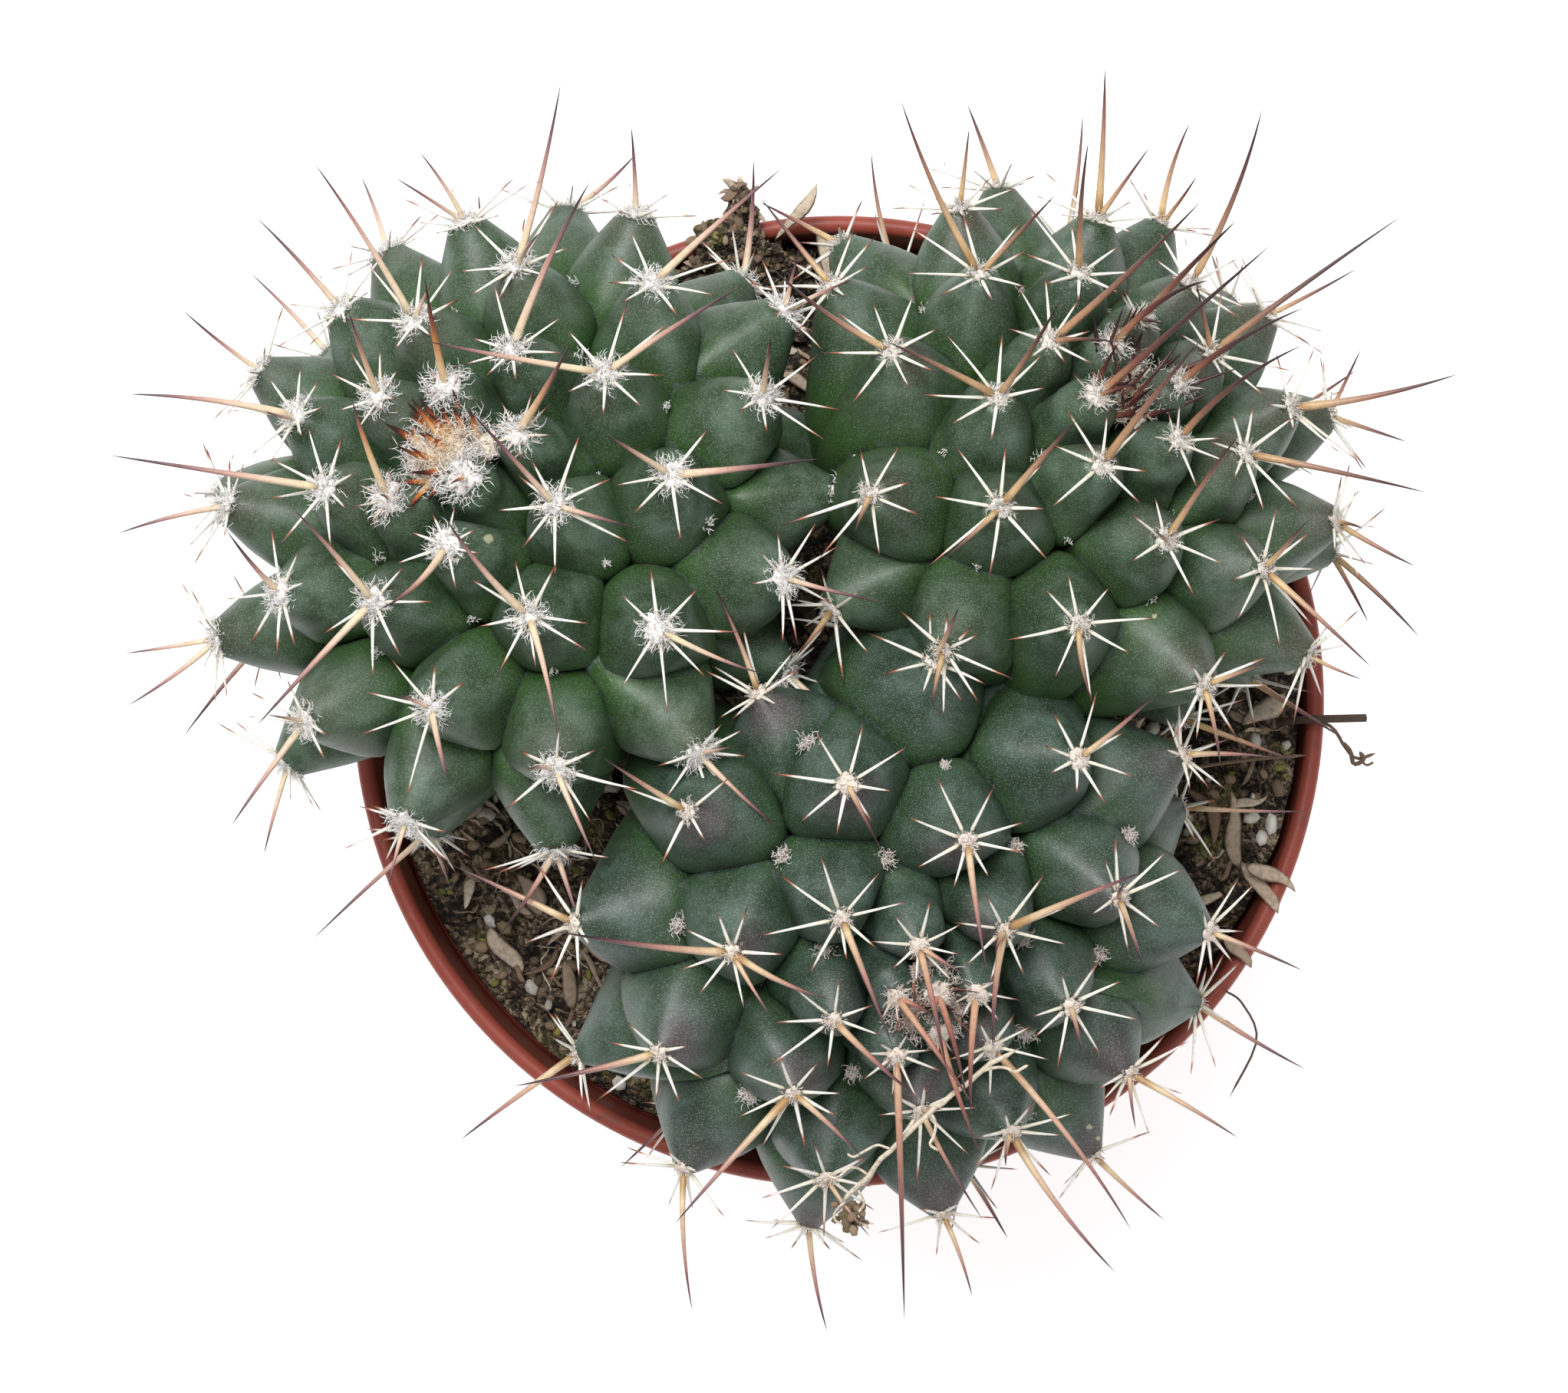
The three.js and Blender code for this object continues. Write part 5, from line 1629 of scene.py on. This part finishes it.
def scattered_centrals(plant, rng):
    """Centrals of the tubercles without a long one, and a short second one on a third of all."""
    growth = plant.growth
    plain = ~np.isin(growth.n, [row[0] for row in LONG_CENTRALS[plant.name]])
    seconds = np.flatnonzero(rng.uniform(0, 1, len(growth.n)) < SECOND_CENTRALS)
    owner = np.concatenate([np.flatnonzero(plain), seconds])
    count, second = len(owner), np.arange(len(owner)) >= plain.sum()
    age = growth_share(growth.n[owner], CENTRAL_HEAD_START)
    tilt = CENTRAL_TILT * (0.3 + 0.7 * age) * rng.uniform(0.75, 1.25, count)
    swing = rng.normal(0, 0.5, count) + second * rng.choice([2.4, 3.2, 3.9], count)
    length = age * CENTRAL_LENGTH[plant.name] * rng.uniform(0.8, 1.2, count) * np.where(second, 0.6, 1)
    across = around(swing, growth.away[owner], growth.sideways[owner])
    return owner, length, around(tilt, growth.direction[owner], across)


def round_tip(plant, turn, distance):
    """Side-steps round a plant's growing tip and the places that they lead to, in its dimple."""
    axis, downhill, sideways = plant_frame(plant)
    aside = distance[:, None] * around(turn, downhill, sideways)
    level = plant.reach * plant.flatness - YOUNG_TUBERCLE + DIMPLE_LIFT + CROWNS[plant.name].lift
    return aside, plant.centre + level * axis + aside


def crown_spines(plant, rng):
    """Roots, lengths and directions of the young spines that stand in the wool of the growing tip."""
    crown = CROWNS[plant.name]
    turn = rng.uniform(0, FULL_TURN, crown.count)
    aside, roots = round_tip(plant, turn, crown.spread * np.sqrt(rng.uniform(0.02, 1, crown.count)))
    loose = rng.normal(0, crown.loose, (crown.count, 3))
    low, high = crown.length
    length = low + (high - low) * rng.uniform(0, 1, crown.count) ** 1.4
    return roots, length, unit(plant_frame(plant)[0] + crown.lean + crown.splay * aside + loose)


def make_centrals(plant):
    """Long chosen centrals, scattered shorter ones, and the young ones on the growing tip."""
    growth, crown = plant.growth, CROWNS[plant.name]
    rng = np.random.default_rng(400 + plant.seed)
    rows = np.array([row for row in LONG_CENTRALS[plant.name] if row[0] in growth.n])
    reach = CENTRAL_REACH * rows[:, 1:]
    owner, length, direction = scattered_centrals(plant, rng)
    owner = np.concatenate([np.searchsorted(growth.n, rows[:, 0]), owner])
    length = np.concatenate([np.linalg.norm(reach, axis=1), length])
    direction = np.concatenate([unit(reach), direction])
    roots = growth.tip[owner] + 0.2 * growth.direction[owner]
    direction = bent_clear(roots, direction, length, growth.direction[owner])
    bows = (rng.normal(0, 0.075, (len(owner), 3)) + [0, 0, -0.03]) * length[:, None]
    youth = np.clip(1.1 - growth.n[owner] / crown.ageing, 0, 1)
    crown_roots, crown_length, crown_direction = crown_spines(plant, rng)
    crown_bows = rng.normal(0, 0.3, (crown.count, 3))
    length = np.concatenate([length, crown_length])
    radii = CENTRAL_RADIUS * rng.uniform(0.88, 1.1, len(length)) * np.clip(0.5 + length / 26, 0.6, 1.15)
    radii[-crown.count:] = crown.radius * rng.uniform(0.75, 1.1, crown.count)
    roots, direction, bows, youth = (np.concatenate(pair) for pair in (
        (roots, crown_roots), (direction, crown_direction), (bows, crown_bows),
        (youth, np.ones(crown.count))))
    tones = rng.uniform(0, 1, len(length))
    shape = (roots, direction, length, bows, radii, CENTRAL_SLIMNESS)
    place_spines(plant, "central", *shape, tones, youth, CENTRAL_STOPS[plant.name])


for plant in PLANTS:
    make_radials(plant)
    make_centrals(plant)

# %% [markdown]
# ## Wool
#
# Wool grows from every areole and thickly round the growing tip. Each areole has a small felt cushion,
# a squashed lump with uneven sides, and hairs that curl out of it. A hair is a straight line from the
# areole with a side-step that turns as it grows. The left plant is the woolliest. Small tufts show deep
# between the tubercles of all three, the largest of them on the front plant.

# %% Wool finish
# The root colours are darker than the tips: partly cream wool, partly painted shade deep in the tufts.
WOOL = {
    "left": SimpleNamespace(
        hairs=160, length=1.4, spread=1.8, cushion=1.3, axil=24, axil_size=(0.45, 0.85),
        crown=1150, crown_reach=4.6, crown_length=(1.0, 2.6),
        root=(0.76, 0.72, 0.69), tip=(0.93, 0.92, 0.91), warm=(0.93, 0.76, 0.56)),
    "right": SimpleNamespace(
        hairs=90, length=1.05, spread=1.15, cushion=0.98, axil=18, axil_size=(0.4, 0.7),
        crown=650, crown_reach=4.3, crown_length=(0.6, 1.7),
        root=(0.62, 0.56, 0.49), tip=(0.86, 0.84, 0.81), warm=(0.74, 0.62, 0.50)),
    "front": SimpleNamespace(
        hairs=60, length=0.8, spread=1.05, cushion=0.92, axil=130, axil_size=(0.45, 1.15),
        crown=1100, crown_reach=4.4, crown_length=(0.6, 1.7),
        root=(0.70, 0.58, 0.47), tip=(0.90, 0.86, 0.83), warm=(0.90, 0.66, 0.55)),
}
SPECK_COLOUR = (0.55, 0.50, 0.44)


def make_wool_finish(name, style):
    """Soft white hair, darker and creamier at its root, partly a cream of its own and partly painted shade
    deep in the tuft, and warm-toned where it is young.
    """
    net = Finish(name + "_wool")
    # Darker towards the root: the wool's own cream and painted shade deep in the tuft.
    shade = net.mix(net.point("along"), style.root, style.tip)
    shade = net.mix(net.point("warm") * 0.85, shade, style.warm)
    specked = net.mix(net.cloud(1.5, 3) * 0.12, shade, SPECK_COLOUR)
    return net.shade(specked, 0.9, Normal=net.grain(0.35, 0.12, 0.9, 0.16))


# %% Felt cushions
CUSHION_ROWS = 8
CUSHION_SIDES = 22
CUSHION_HEIGHT = 0.4
CUSHION_LIFT = 0.28
# The felt takes a colour about a third of the way from the hairs' root colour to their tip colour: its own
# cream and painted shade in the core of each tuft.
CUSHION_PAINTED_SHADE = 0.35
CUSHION_WAVES, CUSHION_SHAG = (0.10, 0.08, 0.06), 0.13
CROWN_PADS = 18
CROWN_PAD_REACH = 4.0
CROWN_PAD_DROP = 0.2
CROWN_PAD_NUMBER = 9
CROWN_PAD_WARMTH = 0.9


def with_crown_pads(plant):
    """Number, place and axes of the areoles, and of a few more cushions round the growing tip."""
    axis, numbers = plant_frame(plant)[0], np.arange(CROWN_PADS)
    distance = CROWN_PAD_REACH * np.sqrt(draw(8, numbers))
    aside, tips = round_tip(plant, FULL_TURN * draw(7, numbers), distance)
    directions = unit(axis + 0.1 * aside)
    away = unit(np.cross(directions, UP))
    pads = {
        "n": np.full(CROWN_PADS, CROWN_PAD_NUMBER), "tip": tips - CROWN_PAD_DROP * axis,
        "direction": directions, "away": away, "sideways": np.cross(directions, away),
    }
    areoles = vars(plant.growth)
    return SimpleNamespace(**{key: np.concatenate([areoles[key], pads[key]]) for key in pads})


def make_cushions(plant, finish):
    """Flat shaggy lumps: half-width = size * sin(polar) * uneven, height likewise with a squashed cos."""
    rng = np.random.default_rng(600 + plant.seed)
    growth = with_crown_pads(plant)
    count, turn = len(growth.n), turns(CUSHION_SIDES)
    polar = np.pi * np.arange(1, CUSHION_ROWS + 1)[:, None] / (CUSHION_ROWS + 1)
    phase = rng.uniform(0, FULL_TURN, (3, count, 1, 1))
    three, five, four = CUSHION_WAVES
    uneven = 1 + three * np.sin(3 * turn + phase[0]) + five * np.sin(5 * turn + phase[1])
    uneven = uneven + four * np.sin(4 * polar + phase[2])
    uneven = uneven + rng.normal(0, CUSHION_SHAG, uneven.shape)
    sizes = WOOL[plant.name].cushion * rng.uniform(0.85, 1.12, (count, 1, 1))
    level = (sizes * np.sin(polar) * uneven)[..., None]
    rise = (-CUSHION_HEIGHT * sizes * np.cos(polar) * uneven)[..., None]
    away, sideways, up = (
        part[:, None, None] for part in (growth.away, growth.sideways, growth.direction))
    rings = CUSHION_LIFT * up + level * around(turn, away, sideways) + rise * up
    pole = CUSHION_HEIGHT * sizes[:, 0] * growth.direction
    lift = CUSHION_LIFT * growth.direction
    size = CUSHION_ROWS * CUSHION_SIDES + 2
    grown = np.repeat(np.clip(1.2 - growth.n / 20.0, 1, 1.2), size)[:, None]
    points = np.repeat(growth.tip, size, axis=0) + grown * stack_points(lift - pole, rings, lift + pole)
    warm = CROWN_PAD_WARMTH * (np.arange(count) >= len(plant.growth.n))
    # Felt darker than the hair tips: its own cream and painted shade.
    values = {"along": np.full(count, CUSHION_PAINTED_SHADE), "warm": warm}
    stacks = (count, CUSHION_ROWS, CUSHION_SIDES)
    place_stacks(plant.name + "_felt", points, stacks, values, finish)


# %% Curled hairs
HAIR_STEPS = 5
HAIR_SIDES = 3
HAIR_RADIUS = 0.055
# How far a hair turns on its way, in radians, and how far it steps aside as a share of its length.
HAIR_TURNS, HAIR_STEP_ASIDE = (3.0, 7.5), (0.14, 0.36)
# Tufts are looked for from this far above the tips, over this length, at these tubercle numbers.
TUFT_ABOVE, TUFT_SEARCH = 4.0, 18
WOOLLY_AXILS = (2, 18)
# Tubercles that touch differ by these numbers on the growth spiral.
SPIRAL_STEPS = (0, 5, 8, 13)


def curls(roots, directions, lengths, rng):
    """Root + share * length * direction + a side-step that turns and grows on the way."""
    count = len(roots)
    share = np.linspace(0, 1, HAIR_STEPS)[None, :, None]
    side = unit(np.cross(directions, rng.normal(size=(count, 3))))
    other = np.cross(directions, side)
    spin = rng.uniform(*HAIR_TURNS, (count, 1, 1)) * share + rng.uniform(0, FULL_TURN, (count, 1, 1))
    width = rng.uniform(*HAIR_STEP_ASIDE, (count, 1, 1)) * lengths[:, None, None] * np.sqrt(share)
    return (
        roots[:, None] + share * lengths[:, None, None] * directions[:, None]
        + width * (np.cos(spin) * side[:, None] + np.sin(spin) * other[:, None])
    )


def areole_hairs(growth, style, rng):
    """Roots, directions, lengths and warmth of the hairs in a small cushion on each areole."""
    all_of = (len(growth.n), style.hairs)
    swing = rng.uniform(0, FULL_TURN, all_of)
    spread = np.sqrt(rng.uniform(0.02, 1, all_of))[..., None]
    across = spread * around(swing, growth.away[:, None], growth.sideways[:, None])
    up = growth.direction[:, None]
    grown = np.clip(1.3 - growth.n / 16.0, 1, 1.3)[:, None, None]
    roots = growth.tip[:, None] + grown * (0.8 * style.spread * across + 0.75 * (1 - spread**2) * up)
    loose = rng.normal(0, 0.28, (*all_of, 3))
    lean = unit(up * rng.uniform(0.1, 0.9, (*all_of, 1)) * (1.4 - spread) + across + loose)
    length = (grown[..., 0] * style.length * rng.uniform(0.45, 1.25, all_of)).ravel()
    return roots.reshape(-1, 3), lean.reshape(-1, 3), length, 0 * length


def crown_hairs(plant, style, rng):
    """The same for the hairs in the dimple of the growing tip."""
    axis, count = plant_frame(plant)[0], style.crown
    turn, spread = rng.uniform(0, FULL_TURN, count), np.sqrt(rng.uniform(0, 1, count))
    places = round_tip(plant, turn, style.crown_reach * spread)[1]
    roots = places + rng.uniform(-0.6, 1.6, (count, 1)) * axis
    lean = unit(axis * rng.uniform(0.2, 1.2, (count, 1)) + rng.normal(0, 0.55, (count, 3)))
    return roots, lean, rng.uniform(*style.crown_length, count), np.clip(1.5 - 1.7 * spread, 0, 1)


def axil_hairs(plant, style, rng):
    """The same for small tufts where four tubercles meet."""
    growth = plant.growth
    found = {number: i for i, number in enumerate(growth.n)}
    tufts = []
    for number in range(WOOLLY_AXILS[0], WOOLLY_AXILS[1] + 1):
        around_it = [found.get(number + step) for step in SPIRAL_STEPS]
        if None in around_it:
            continue
        out = unit(growth.direction[around_it].mean(0))
        start = growth.tip[around_it].mean(0) + TUFT_ABOVE * out
        hit = FLESH_TREES[plant.name].ray_cast(Vector(start * MM), Vector(-out), TUFT_SEARCH * MM)[0]
        if hit is not None:
            tufts.append((np.array(hit) / MM, out))
    size = np.repeat(rng.uniform(*style.axil_size, len(tufts)), style.axil)
    middles, outwards = (np.repeat(part, style.axil, 0) for part in zip(*tufts))
    roots = middles + 0.38 * size[:, None] * rng.normal(size=middles.shape) + 0.2 * outwards
    lean = unit(0.7 * outwards + rng.normal(0, 0.7, middles.shape))
    return roots, lean, size * rng.uniform(0.6, 1.3, len(roots)), 0 * size


def make_wool(plant, style, finish):
    """All hairs of a plant as one piece."""
    rng = np.random.default_rng(500 + plant.seed)
    groups = [
        areole_hairs(plant.growth, style, rng), crown_hairs(plant, style, rng),
        axil_hairs(plant, style, rng),
    ]
    roots, directions, lengths, warm = (np.concatenate(part) for part in zip(*groups))
    paths = curls(roots, directions, lengths, rng)
    width = HAIR_RADIUS * np.broadcast_to(np.linspace(1, 0.6, HAIR_STEPS), paths.shape[:2])
    faced = unit(np.cross(directions, rng.normal(size=directions.shape)))
    values = {"along": share_along(paths, HAIR_SIDES), "warm": warm}
    section = (width, width, HAIR_SIDES, faced)
    place_sweeps(plant.name + "_wool", paths, *section, values, finish, plant.slot)


for plant in PLANTS:
    style = WOOL[plant.name]
    wool_finish = make_wool_finish(plant.name, style)
    make_cushions(plant, wool_finish)
    make_wool(plant, style, wool_finish)

# %% [markdown]
# ## Measure
#
# The boxes of the solids and of the dressed model are both printed, with the number of triangles in all.
# The dressed model has to stay inside the solids' box.

# %% Sizes
dressed_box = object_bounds()
print_box("dressed from", dressed_box)
total = sum(len(piece.data.loop_triangles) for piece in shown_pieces() if piece.type == "MESH")
print("triangles in all", total)
